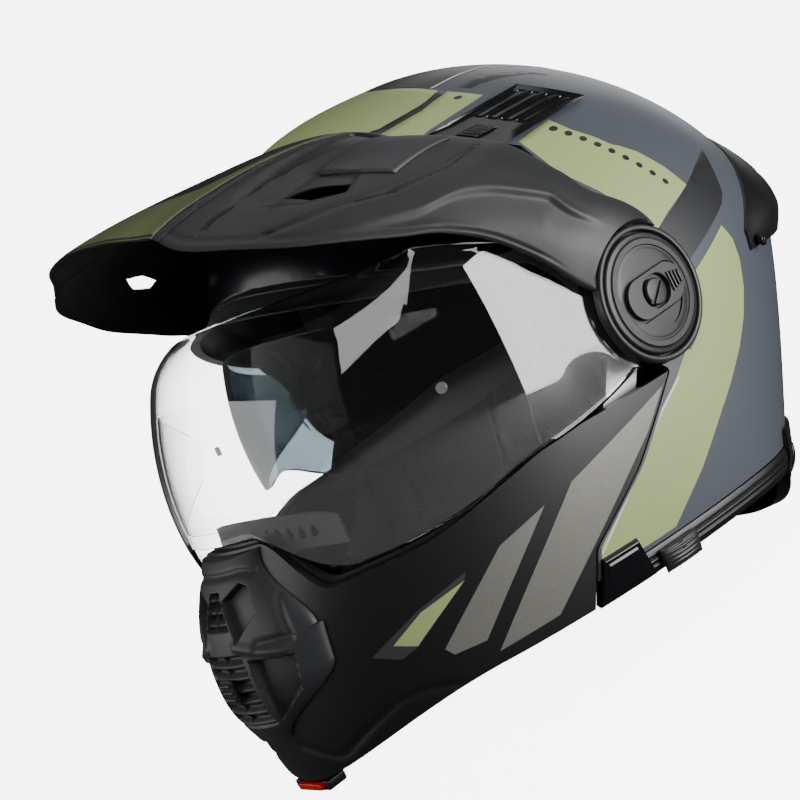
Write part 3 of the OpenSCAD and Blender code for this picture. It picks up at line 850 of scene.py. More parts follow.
def straight(corners: Points, closed: bool = True) -> np.ndarray:
    """Give an outline on the skin straight sides, as a cutter makes them.

    Args:
        corners: Plan angles and heights of the corners.
        closed: Whether the last corner joins the first.

    Returns:
        Plan angles and heights of points along the sides, about 4 mm apart.
    """
    c = np.asarray(corners, float)
    p = SKIN.point(c[:, 0], c[:, 1])
    ends = np.roll(p, -1, axis=0) if closed else p[1:]
    out = []
    for a, b in zip(p, ends):
        n = max(1, int(np.linalg.norm(b - a) / 4))
        out += [a + (b - a) * i / n for i in range(n)]
    if not closed:
        out.append(p[-1])
    q = np.array(out)
    z = q[:, 2]
    dy = SKIN.middle(z) - q[:, 1]
    n = np.where(dy > 0, SKIN.front_plan(z), SKIN.back_plan)
    reach = np.where(dy > 0, SKIN.front(z, 0.0), SKIN.back(z, 0.0))
    side = np.power(np.abs(q[:, 0]) / np.maximum(SKIN.half_width(z, 0.0), 1e-6), n / 2)
    along = np.sign(dy) * np.power(np.abs(dy) / np.maximum(reach, 1e-6), n / 2)
    return np.stack([np.degrees(np.arctan2(np.sign(q[:, 0]) * side, along)), z], -1)


@dataclass(frozen=True)
class Decal:
    """Thin layer laid on the skin: printed graphics under the clear coat, and a painted highlight along the
    shell's front edge.
    """

    name: str
    corners: Points
    finish: Finish
    body: str
    slot: str
    proud: float = 0.12
    relief: Callable | None = None
    trim: Callable | None = None
    step: float = 1.6
    sunk: float = 0.3
    pivot_clear: float = 32.6

    def lay(self, name: str, outline: Grid, mirror: int) -> Object:
        """Lay an outline on the skin and dress it.

        Args:
            name: Name of the piece.
            outline: Its points in the crown's polar plane.
            mirror: 1, or -1 to turn it to the wearer's right.

        Returns:
            The layer, without what would lie under the pivot cap.
        """
        flat, faces = flat_fill(outline, self.step)
        t, z = from_polar(flat)
        if self.trim:
            t = np.where(t >= 0, self.trim(np.abs(t), z), -self.trim(np.abs(t), z))
        o = self.relief(t, z) if self.relief else 0.0
        top, under = (SKIN.point(t, z, o + d) * (mirror, 1, 1) for d in (-self.proud, self.sunk))
        free = np.hypot(top[:, 1], top[:, 2]) > self.pivot_clear
        piece = slab(name, top, under, [f for f in faces if free[f].all()])
        return dress(piece, self.finish, self.body, crease=70)

    def build(self, side: Side) -> Object:
        """Make the layer on one side."""
        c = straight(self.corners)
        return self.lay(f"{self.name}_{side.tag}", polar_plane(c[:, 0], c[:, 1]), side.value)

    def build_whole(self) -> Object:
        """Make a graphic that crosses the middle from the outline of its left half."""
        c = straight(self.corners, closed=False)
        left = polar_plane(c[:, 0], c[:, 1])
        ring = np.concatenate([left, (left * (-1, 1))[::-1]])
        apart = np.linalg.norm(np.diff(ring, axis=0), axis=1) > 0.01
        return self.lay(self.name, ring[np.concatenate([[True], apart])], 1)


def slab(name: str, top: Grid, bottom: Grid, faces: Faces) -> Object:
    """Make a closed solid from one filled outline laid at two levels.

    Args:
        name: Name of the piece.
        top: Points of the upper level.
        bottom: The same points at the lower level.
        faces: Corner indices of the outline's faces.

    Returns:
        The object.
    """
    n = len(top)
    edges = dict.fromkeys((a, b) for f in faces for a, b in zip(f, list(f[1:]) + [f[0]]))
    walls = [[b, a, n + a, n + b] for a, b in edges if (b, a) not in edges]
    under = [[n + i for i in reversed(f)] for f in faces]
    return tidy(mesh_piece(name, np.concatenate([top, bottom]), [list(f) for f in faces] + under + walls))


def lathe(name: str, profile: Points, sides: int = 96, side: Side = Side.LEFT) -> Object:
    """Turn a closed profile about the pivot axis.

    Args:
        name: Name of the piece.
        profile: Pairs of x and radius, in millimetres.
        sides: Faces around.
        side: Side of the helmet.

    Returns:
        The object.
    """
    p = np.asarray(profile, float)
    w = np.linspace(0, 2 * math.pi, sides, endpoint=False)
    x, r = np.repeat(p[:, :1], sides, 1) * side.value, p[:, 1:]
    rings = np.stack([x, -r * np.cos(w), r * np.sin(w)], -1)
    faces = []
    for i in range(len(p)):
        a, b = i * sides, (i + 1) % len(p) * sides
        faces += [[a + j, a + (j + 1) % sides, b + (j + 1) % sides, b + j] for j in range(sides)]
    return tidy(mesh_piece(name, rings.reshape(-1, 3), faces))


def tidy(piece: Object, reach: float = 1e-6) -> Object:
    """Merge points that lie together and point all faces outwards.

    Args:
        piece: The piece.
        reach: Greatest distance of points that are merged, in metres.

    Returns:
        The same object.
    """
    work = bmesh.new()
    work.from_mesh(piece.data)
    bmesh.ops.remove_doubles(work, verts=work.verts, dist=reach)
    bmesh.ops.dissolve_degenerate(work, edges=work.edges, dist=reach)
    bmesh.ops.recalc_face_normals(work, faces=work.faces)
    work.to_mesh(piece.data)
    work.free()
    return piece


FRONT_LINE = np.array(
    [
        [-113, 77.4], [-104, 71], [-93, 64], [-75, 55], [-55, 46], [-38, 35], [-31, 23], [-27, 8],
        [-20, -15], [-2, -35], [-11, -43], [-36.5, -65], [-70.5, -87], [-80.5, -112], [-82, -140],
    ]
)


def edge_angle(z: Grid, line: Grid = FRONT_LINE, gap: float = 0.0) -> Grid:
    """Return the plan angle where the skin meets the split."""
    y = np.interp(-np.asarray(z, float), -line[:, 1], line[:, 0]) - gap
    return SKIN.plan_angle(y, np.asarray(z, float))


def stroke(line: Points, width_mm: float) -> list[list[float]]:
    """Widen a line on the skin to an outline.

    Args:
        line: Plan angles and heights.
        width_mm: Width of the stroke.

    Returns:
        Plan angles and heights of the outline.
    """
    c = np.asarray(line, float)
    p = polar_plane(c[:, 0], c[:, 1])
    run = np.gradient(p, axis=0)
    run /= np.linalg.norm(run, axis=1)[:, None]
    aside = np.stack([-run[:, 1], run[:, 0]], -1) * width_mm / (2 * MM_PER_DEGREE)
    return np.stack(from_polar(np.concatenate([p + aside, (p - aside)[::-1]])), -1).tolist()


def dot(t: float, z: float, radius_mm: float = 1.6) -> list[list[float]]:
    """Return the outline of a round dot on the skin, as plan angles and heights.

    Args:
        t: Plan angle of its middle.
        z: Height of its middle.
        radius_mm: Its radius.

    Returns:
        Plan angles and heights of the outline.
    """
    w = np.linspace(0, 2 * math.pi, 14, endpoint=False)
    ring = radius_mm / MM_PER_DEGREE * np.stack([np.cos(w), np.sin(w)], -1)
    return np.stack(from_polar(polar_plane(np.array(t), np.array(z)) + ring), -1).tolist()


@dataclass
class Shell:
    """Painted outer shell with its printed graphics and a painted highlight along its front edge."""

    brow: float = 77.0
    rim: float = -100.0
    wall: float = 4.0
    columns: int = 200
    hole: float = 31.8
    hole_reach: float = 200.0

    def build(self) -> None:
        """Build the shell, its printed graphics and the painted highlight along its front edge."""
        top = SKIN.drop(np.concatenate([[1, 2, 3.5], np.linspace(5, SKIN.slant(self.brow), 40)]))
        low = self.brow - (self.brow - self.rim) * np.linspace(0, 1, 110)[1:] ** 1.25
        z = np.concatenate([top, low])
        start = np.concatenate([np.zeros(len(top)), edge_angle(low)])
        k = np.linspace(0, 1, self.columns + 1)
        t = start[:, None] + (360 - 2 * start[:, None]) * k[None, :]
        zz = np.repeat(z[:, None], self.columns + 1, 1)
        piece = self.seamed("shell_skin", SKIN.point(t, zz), SKIN.point(t, zz, self.wall), len(top))
        reach = self.hole_reach
        cut(piece, [rod("shell_hole", (-reach, 0, 0), (reach, 0, 0), self.hole, 96)])
        dress(piece, SLATE, "shell", ["outer_shell"], 50)
        for graphic in self.graphics():
            for side in Side:
                graphic.build(side)
        for graphic in self.middle_graphics():
            graphic.build_whole()

    def seamed(self, name: str, outer: Grid, inner: Grid, closed_rows: int) -> Object:
        """Make the shell's solid: its upper rows close in front, its lower rows stay open.

        Args:
            name: Name of the piece.
            outer: Rows by columns by XYZ, seen from outside.
            inner: The same for the inner face.
            closed_rows: How many rows close in front.

        Returns:
            The object.
        """
        rows, cols = outer.shape[:2]
        n = rows * cols
        faces = grid_faces(rows, cols) + grid_faces(rows, cols, n, False, True)
        last = (rows - 1) * cols
        faces += [[last + j, n + last + j, n + last + j + 1, last + j + 1] for j in range(cols - 1)]
        faces += [list(range(cols - 1)), [n + j for j in reversed(range(cols - 1))]]
        for i in range(closed_rows - 1, rows - 1):
            a, d = i * cols, (i + 1) * cols
            b, c = a + cols - 1, d + cols - 1
            faces += [[a, n + a, n + d, d], [b, c, n + c, n + b]]
        piece = mesh_piece(name, np.concatenate([outer.reshape(-1, 3), inner.reshape(-1, 3)]), faces)
        return tidy(piece, 2e-6)

    def graphics(self) -> list[Decal]:
        """List the printed graphics that each side carries, and the painted highlight along the front edge.
        """
        at = {"body": "shell", "slot": "shell_paint", "trim": self.keep}
        found = [
            Decal("band_green", [(93.4, 87), (84.5, 84), (85, 64), (89, 48), (91, 24), (92, 22), (95, 26),
                  (103, 32), (102, 44), (100, 56), (98, 62), (97, 64), (96, 70), (94, 78), (93, 86)],
                  GREEN, **at),
            Decal("band_dark", [(119, 42), (115, 32), (111, 20), (108, 16), (101, 10), (93, 2), (92, 22),
                  (103, 32), (111, 38)], DARK, **at),
            Decal("panel_green", [(104, 8), (105, 0), (105.2, -10), (104, -22), (101.3, -34), (97.5, -45),
                  (92.8, -56), (87.5, -70), (83, -82), (79, -91), (76, -98), (66, -98), (64, -90),
                  (71, -72), (79, -50), (84, -40), (88, -30), (90, -24), (93, -4)], GREEN, **at),
            Decal("patch_green", [(88, 118.8), (91, 110), (82, 108), (72, 106), (67, 104), (60, 114),
                  (63, 114), (69, 114.8), (76, 115.6), (81, 117.2)], GREEN, **at),
            Decal("swoosh_black", [(91, 118.8), (92, 115.6), (97, 115.6), (105, 114), (114, 110),
                  (117, 106), (116, 112.4), (109, 116.4), (101, 119.6)], BLACK_PAINT, **at),
            Decal("swoosh_dark", [(87, 121.2), (80, 118.8), (76, 118), (69, 117.2), (62, 116.4),
                  (58, 117.2), (60, 114), (69, 114.8), (76, 115.6), (81, 117.2), (88, 118.8)], DARK,
                  **at),
            Decal("crown_line", stroke([(87, 123.6), (94, 124.2), (101, 124.4), (110, 123.8),
                  (118, 122.8), (122, 118.8), (135, 112), (155, 101), (179, 90)], 1.3), LINE, proud=0.2,
                  **at),
            # Pale line on the shell's cut front edge beside the green panel: a painted highlight of that
            # edge.
            Decal("panel_edge_highlight", stroke([(84.5, -40), (79.5, -50), (71.5, -72), (64.8, -90), (66.5, -98)],
                  1.2), LINE, proud=0.2, **at),
        ]
        row = np.linspace(0, 1, 9)
        dots = [(91.8 + 8.4 * k - 0.9 * k * k, 82.2 - 38.5 * k - 5.5 * k * k) for k in row] + [(87, 114)]
        found += [Decal(f"dot_{i}", dot(*spot), DARK, proud=0.17, **at) for i, spot in enumerate(dots)]
        return found

    def middle_graphics(self) -> list[Decal]:
        """List the graphics that cross the middle, each given by its left half from front to back."""
        at = {"body": "shell", "slot": "shell_paint", "trim": self.keep}
        return [
            Decal("brow_gloss", [(0, 78), (8, 77), (23, 71), (40, 60), (59, 46), (72, 41), (84, 52),
                  (84, 82), (72, 100), (60, 110), (40, 108), (0, 106)], BROW_BLACK, **at),
            Decal("crown_green", [(0, 108), (30, 109), (50, 112), (58, 117.2), (62, 116.4), (69, 117.2),
                  (76, 118), (80, 118.8), (87, 121.2), (72.7, 137)], GREEN, **at),
            Decal("crown_dark", [(73.5, 137), (87, 123.6), (94, 124.2), (101, 124.4), (110, 123.8),
                  (118, 122.8), (122, 118.8), (135, 112), (155, 101), (180, 90)], DARK, **at),
        ]

    def keep(self, t: Grid, z: Grid) -> Grid:
        """Keep a layer's plan angles behind the shell's front edge."""
        return np.maximum(t, np.where(z < self.brow, edge_angle(z), 0) + 0.5)


@dataclass
class ChinBar:
    """Painted chin bar with its stripes, vent, seal, liner and release catch."""

    wall: float = 4.0
    gap: float = 1.4
    columns: int = 160
    rows: int = 60
    vent_heights: tuple[float, float] = (-23, -104)

    def split_angle(self, z: Grid) -> Grid:
        """Return the plan angle to which the solid's columns run at height z."""
        return mix(82, 63, np.clip((-z - 40) / 71, 0, 1))

    def top(self, s: Grid) -> Grid:
        """Return the top edge's height at share s of the way from the middle to the end."""
        return -22 - 27 * smooth((s - 0.13) / 0.2) + 14 * smooth((s - 0.5) / 0.32)

    def low(self, s: Grid) -> Grid:
        """Return the lower edge's height at share s."""
        return mix(-129.8, -110.5, smooth(s / 0.75))

    def end_angle(self, z: Grid) -> Grid:
        """Return the plan angle of the bar's end at height z."""
        return edge_angle(z, FRONT_LINE[9:], self.gap)

    def share(self, u: Grid, z: Grid) -> Grid:
        """Return how far column u lies along the edges' curves at height z, as a share."""
        return np.abs(u) * self.end_angle(z) / self.split_angle(z)

    def grid(self) -> tuple[Grid, Grid]:
        """Return the plan angles and heights of the bar's points."""
        u = np.linspace(-1, 1, self.columns + 1)
        edges = []
        for line in (self.top, self.low):
            z = line(np.abs(u) * 0.97)
            for _ in range(8):
                z = np.minimum(line(np.clip(self.share(u, z), 0, 1)), -35.2)
                z = np.where(np.abs(u) < 0.4, line(self.share(u, z)), z)
            edges.append(z)
        v = np.linspace(0, 1, self.rows + 1)[:, None]
        zz = mix(edges[0][None, :], edges[1][None, :], v)
        return u[None, :] * self.end_angle(zz), zz

    def swage(self, t: Grid, z: Grid) -> Grid:
        """Return how deep the pressed line low on the bar is.

        Args:
            t: Plan angles.
            z: Heights.

        Returns:
            Depths in millimetres.
        """
        spots = np.stack([np.abs(t) * SWAGE_SPREAD, z], -1)
        line = [(6.5, -110), (13.5, -119), (15.5, -120), (22, -113), (30.5, -105), (35.5, -106), (40, -110)]
        return 0.9 * bell(path_distance(spots, np.array(line) * (SWAGE_SPREAD, 1)), 1.6)

    def build(self) -> None:
        """Build the bar and all that is fixed to it."""
        t, z = self.grid()
        piece = solid("chin_skin", SKIN.point(t, z, self.swage(t, z)), SKIN.point(t, z, self.wall))
        dress(piece, BLACK_PAINT, "face_bar", ["chin_bar"], 50)
        for graphic in self.graphics():
            for side in Side:
                graphic.build(side)
        self.build_seal()
        self.build_vent()
        self.build_deflector()
        self.build_liner()
        self.build_release()

    def graphics(self) -> list[Decal]:
        """List the stripes on each side."""
        at = {"body": "face_bar", "slot": "chin_paint", "trim": self.keep, "relief": self.swage}
        return [
            Decal("stripe_wide", [(84, -37), (64, -55), (47, -105), (56.5, -104), (72.5, -64)], GRAPHITE,
                  **at),
            Decal("stripe_mid", [(59.5, -58), (52, -64), (40, -93), (41, -97), (46, -98)], GRAPHITE,
                  **at),
            Decal("stripe_small", [(46.5, -67), (38, -73), (29, -83), (33.5, -89), (36.5, -87),
                  (46, -69.5)], DIM_GRAPHITE, **at),
            Decal("stripe_green", [(46, -70), (38.6, -74), (33, -82), (36.5, -86.5)], GREEN, proud=0.2,
                  **at),
        ]

    def keep(self, t: Grid, z: Grid) -> Grid:
        """Keep a stripe's plan angles inside the bar's end."""
        return np.minimum(t, self.end_angle(z) - 0.5)

    def build_seal(self) -> None:
        """Build the rubber lip along the bar's top edge, with two ribs."""
        def height(k: Grid, v: Grid) -> Grid:
            """Follow the bar's top edge."""
            return self.top(np.abs(2 * k - 1) * 61 / 82) + mix(1.4, -7, v)

        piece = patch("chin_lip", 120, 16, (-61, 61), height,
                      lambda k, v: self.wall + 0.7 - 0.5 * bell(v - 0.08, 0.06),
                      lambda k, v: self.wall + 4.2 + 0.8 * bell(v - 0.3, 0.12))
        dress(piece, RUBBER, "face_bar", ["chin_seal"], 60)

    def vent_half(self, z: Grid) -> Grid:
        """Return the vent cover's half angle at height z."""
        upper = mix(11.5, 22, smooth((-z - 24) / 38))
        return np.where(z > -60, upper, mix(23, 6, smooth((-z - 76) / 30)))

    def vent_out(self, k: Grid, v: Grid) -> Grid:
        """Return how far the vent cover stands off the skin, as a negative depth.

        Args:
            k: Place across, 0 to 1.
            v: Place down, 0 to 1.

        Returns:
            Depths in millimetres.
        """
        s = np.abs(2 * k - 1)
        z = mix(*self.vent_heights, v)
        t = s * self.vent_half(z)
        dome = 1 + 9.5 * np.power(np.maximum(1 - s**3, 0), 0.6) * arch(mix(0.1, 0.94, v), 0.5)
        spots = np.stack([t * VENT_SPREAD, z], -1)

        def recess(corners: Points, depth: float, soft: float) -> Grid:
            """Sink what lies inside corners, given as plan angles and heights."""
            return depth * smooth(inside(spots, [(c[0] * VENT_SPREAD, c[1]) for c in corners]) / soft + 0.5)

        sunk = recess([(3.2, -39), (8, -34), (9.8, -36), (11.2, -46), (6.2, -55), (5, -49)], 5.5, 2.4)
        sunk += recess([(8.4, -65), (17.5, -68), (16.5, -82), (9, -93), (8.6, -78)], 6.0, 2.6)
        slot = recess([(0, -35), (1.8, -35), (4.2, -50), (0, -50)], 4.5, 1.2)
        grille = recess([(0, -61), (6.4, -61), (7.6, -95), (0, -95)], 3.4, 1.4)
        ribs = 0.5 + 0.5 * np.cos(2 * np.pi * (z + 60) / 5.6)
        louvres = 0.5 + 0.5 * np.cos(2 * np.pi * (z + 38) / 5.0)
        shoulder = 1.6 * bell(path_distance(spots, [(51, -44), (57, -60), (35, -59)]), 2.2)
        ridge = 1.5 * bell(path_distance(spots, [(17, -57), (54, -64)]), 2.4)
        crease = 1.3 * bell(path_distance(spots, [(0, -29), (24, -29), (36, -31)]), 1.5)
        out = dome - sunk - slot * mix(1, 0.35, louvres) - grille * mix(1, 0.1, ribs)
        return -np.maximum(out - shoulder + ridge - crease, 0.5)

    def build_vent(self) -> None:
        """Build the vent cover with its recesses, and the slide in it with its ribs."""
        piece = patch("vent_cover", 150, 190,
                      lambda k, v: (2 * k - 1) * self.vent_half(mix(*self.vent_heights, v)),
                      self.vent_heights, self.vent_out, -0.3)
        dress(piece, VENT, "face_bar", ["chin_vent", "chin_grille"], 55)
        r = 1.6
        y = SKIN.mid - float(SKIN.chin(np.array(-76.0), -10.4)) - r
        slide = prism("vent_slide", pill((0, y + r, -76), 5 - r, 6 - r, r, 32), (0, -r, 0))
        soften(slide, 0.5, 3)
        dress(slide, TAB, "vent_shutter", ["vent_shutter"])
        for i, z in enumerate((-79.2, -75.8, -72.4)):
            turn = np.linspace(-math.pi / 2, math.pi / 2, 9)
            bar = [(4, y - 1.2 * np.cos(q), z + 0.9 * np.sin(q)) for q in turn]
            rib = prism(f"slide_rib_{i}", bar, (-8, 0, 0))
            soften(rib, 0.2, 2)
            dress(rib, TAB, "vent_shutter")

    def build_deflector(self) -> None:
        """Build the breath deflector, with five drop-shaped holes by each end."""
        depth = self.wall + 6.7
        scale = np.array([3.0, 1.0])
        k = np.linspace(-1, 1, 40)
        outline = [(27 * a, 14 - 8 * a * a - 3 * abs(a) ** 9) for a in k]
        outline += [(27 * a, -2 - 8 * a * a) for a in k[::-1]]
        holes = []
        for sign in (-1, 1):
            for i in range(5):
                centre = sign * (10.5 + 2.7 * i)
                base = 5.5 - 8 * (centre / 27) ** 2
                w = np.linspace(0, 2 * math.pi, 14, endpoint=False)
                long = 3.8 - 0.25 * i
                c, s = np.cos(w), np.sin(w)
                holes.append(np.stack([centre + 0.75 * c * (1 - 0.45 * s), base + long * s], -1))
        flat, faces = flat_fill(np.array(outline) * scale, 2.2, [h * scale for h in holes])
        t, h = flat[:, 0] / scale[0], flat[:, 1]

        def at(d: float) -> Grid:
            """Return the plate's points, moved inwards by d."""
            p = SKIN.point(t, np.full_like(t, -27.0), depth + d)
            return p + np.stack([0 * t, np.interp(h, [-10, 7, 14], [0, 1, 2]), h], -1)

        piece = slab("deflector_plate", at(0), at(1.6), faces)
        dress(piece, DEFLECTOR, "face_bar", ["breath_deflector"])

    def build_liner(self) -> None:
        """Build the padded chin liner, with a sewn line along its middle."""
        def inner(k: Grid, v: Grid) -> Grid:
            """Crown the face that touches the wearer, and sink its sewn line."""
            crown = arch(mix(0.03, 0.97, v), 0.45) * arch(mix(0.02, 0.98, k), 0.3)
            return self.wall + 1.5 + 15.5 * crown - 1.6 * bell(v - 0.5, 0.035)

        piece = patch("chin_pad", 110, 40, (-46, 46),
                      lambda k, v: mix(-58, mix(-122, -108, (2 * k - 1) ** 2), v), self.wall + 0.7, inner)
        dress(piece, CLOTH, "face_bar", ["chin_liner"], 80)

    def build_release(self) -> None:
        """Build the housing under the chin and its red button."""
        front = SKIN.mid - SKIN.chin_reach
        button = prism("release_pill", pill((0, front + 3, -132.4), 8, 0, 1.6, 48), (0, 7, 0))
        soften(button, 0.45, 3)
        dress(button, RED, "release_button", ["release_button"])
        half = [(14, -130.2), (14, -133.6), (12.8, -134.7)]
        corners = [(-x, front + 5, z) for x, z in half] + [(x, front + 5, z) for x, z in half[::-1]]
        housing = prism("release_block", corners, (0, 10, 0))
        cut(housing, [prism("release_hole", pill((0, front, -132.4), 8, 0, 2.0, 48), (0, 14, 0))])
        soften(housing, 0.4, 2)
        dress(housing, TRIM, "face_bar", ["release_housing"])


def pill(middle: Sequence[float], half_wide: float, half_high: float, r: float, sides: int) -> list:
    """Return the outline of an upright plate with round corners that faces forwards.

    Args:
        middle: Its middle, in millimetres.
        half_wide: Half its width, less the corner's radius.
        half_high: Half its height, less the corner's radius.
        r: The corner's radius.
        sides: Points around.

    Returns:
        Points in order.
    """
    x, y, z = middle
    turn = np.linspace(0, 2 * math.pi, sides + 1)[:-1] + 0.01
    c, s = np.cos(turn), np.sin(turn)
    return [(x + np.sign(a) * half_wide + r * a, y, z + np.sign(b) * half_high + r * b) for a, b in zip(c, s)]


@dataclass
class FaceShield:
    """Clear shield on its two pivot plates, with the anti-fog insert and its pins."""

    radius: float = 181.0
    thick: float = 2.2
    half: float = 122.2
    lean: float = 16.0

    def top(self, s: Grid) -> Grid:
        """Return the angle of the top edge at share s from the middle."""
        return 28 + 30 * s**2.6

    def low(self, s: Grid) -> Grid:
        """Return the angle of the lower edge at share s."""
        drop = 10 * smooth((s - 0.13) / 0.19) + 7 * np.clip((s - 0.3) / 0.36, 0, 1)
        return -5.6 - drop - 34 * np.clip((s - 0.66) / 0.34, 0, 1) ** 1.5

    def at(self, x: Grid, a: Grid, d: Grid | float) -> Grid:
        """Return points of the lens at x and angle a, moved inwards by d.

        Args:
            x: Places across.
            a: Angles above the pivot, in degrees.
            d: How far inwards.

        Returns:
            Points, with X, Y and Z on the last axis.
        """
        edge = self.radius * np.power(np.maximum(0, 1 - np.power(np.abs(x) / self.half, 2.1)), 1 / 2.1)
        tip = self.lean * np.power(np.maximum(0, a + 7) / 28, 1.5) + 10 * (np.maximum(0, a - 19) / 9) ** 2
        r = edge - tip * np.maximum(0, 1 - (x / 100) ** 2) - d
        wide = x * (1 - d / 150) + np.sign(x) * 2.6 * smooth((58 - edge) / 24)
        q = np.radians(a)
        return np.stack([wide + 0 * r, -r * np.cos(q), r * np.sin(q)], -1)

    def build(self) -> None:
        """Build the lens, the insert and the pins."""
        k = np.linspace(-1, 1, 181)[None, :]
        v = np.linspace(0, 1, 61)[:, None]
        s = np.abs(k)
        x = self.half * 0.9866 * np.sin(np.radians(90 * k)) + 0 * v
        a = mix(self.top(s), self.low(s), v)
        rim = 0.5 * (np.power(np.abs(2 * v - 1), 60) + np.power(np.abs(k), 90))
        lens = solid("shield_lens", self.at(x, a, 0.35 * rim), self.at(x, a, self.thick - 0.35 * rim))
        dress(lens, CLEAR, "shield", ["face_shield"], 60)
        wide = np.sqrt(np.maximum(1 - np.abs(k * 0.995) ** 6, 0))
        w = mix(0.06, 0.94, mix(0.5 - 0.5 * wide, 0.5 + 0.5 * wide, v))
        a = mix(16, -5, w)
        x = 96 * k + 0 * v
        film = solid("fog_film", self.at(x, a, self.thick + 0.9), self.at(x, a, self.thick + 1.6))
        dress(film, FILM, "shield", ["fog_insert"], 60)
        for side in Side:
            spot = self.at(np.array(side.value * 101.0), np.array(4.0), self.thick + 1.5)
            inward = np.array([-side.value * 0.42, 0.9, 0.0])
            inward /= np.linalg.norm(inward)
            name = f"fog_pin_{side.tag}"
            start, end = spot - inward * 0.9, spot + inward * 1.7
            pin = rod(name, start, end, 2.5, 40)
            soften(pin, 0.6, 3)
            dress(pin, PIN, "shield", ["fog_pins"] if side is Side.LEFT else [])


@dataclass
class SunVisor:
    """Smoked inner visor with its side arms and the lever under the rim."""

    radius: float = 129.0
    thick: float = 2.0
    half: float = 100.6

    def build(self) -> None:
        """Build the lens and the lever."""
        k = np.linspace(-1, 1, 121)[None, :]
        v = np.linspace(0, 1, 41)[:, None]
        x = self.half * np.sin(np.radians(90 * k)) + 0 * v
        edge = self.radius * np.power(1 - np.power(np.abs(x) / 106, 2.1), 1 / 2.1)
        low = mix(-7, 4, np.abs(k) ** 6) + 5 * bell(k, 0.16)
        a = np.radians(mix(mix(24, 34, k**4), low, v))
        rows = []
        for d in (0.0, self.thick):
            rows.append(np.stack([x * (1 - d / 140), -(edge - d) * np.cos(a), (edge - d) * np.sin(a)], -1))
        lens = solid("visor_lens", *rows)
        dress(lens, SMOKE, "inner_visor", ["sun_visor"], 60)
        lever = patch("visor_thumb", 36, 30, (72, 78), (-102, -113.4),
                      lambda k, v: -3.6 - 3.8 * np.power(np.sin(np.pi * k) * np.sin(np.pi * v), 0.4)
                      + 0.35 * np.cos(2 * np.pi * v * 6) * np.sin(np.pi * k), -3.4)
        dress(lever, TAB, "visor_lever", ["visor_lever"], 60)


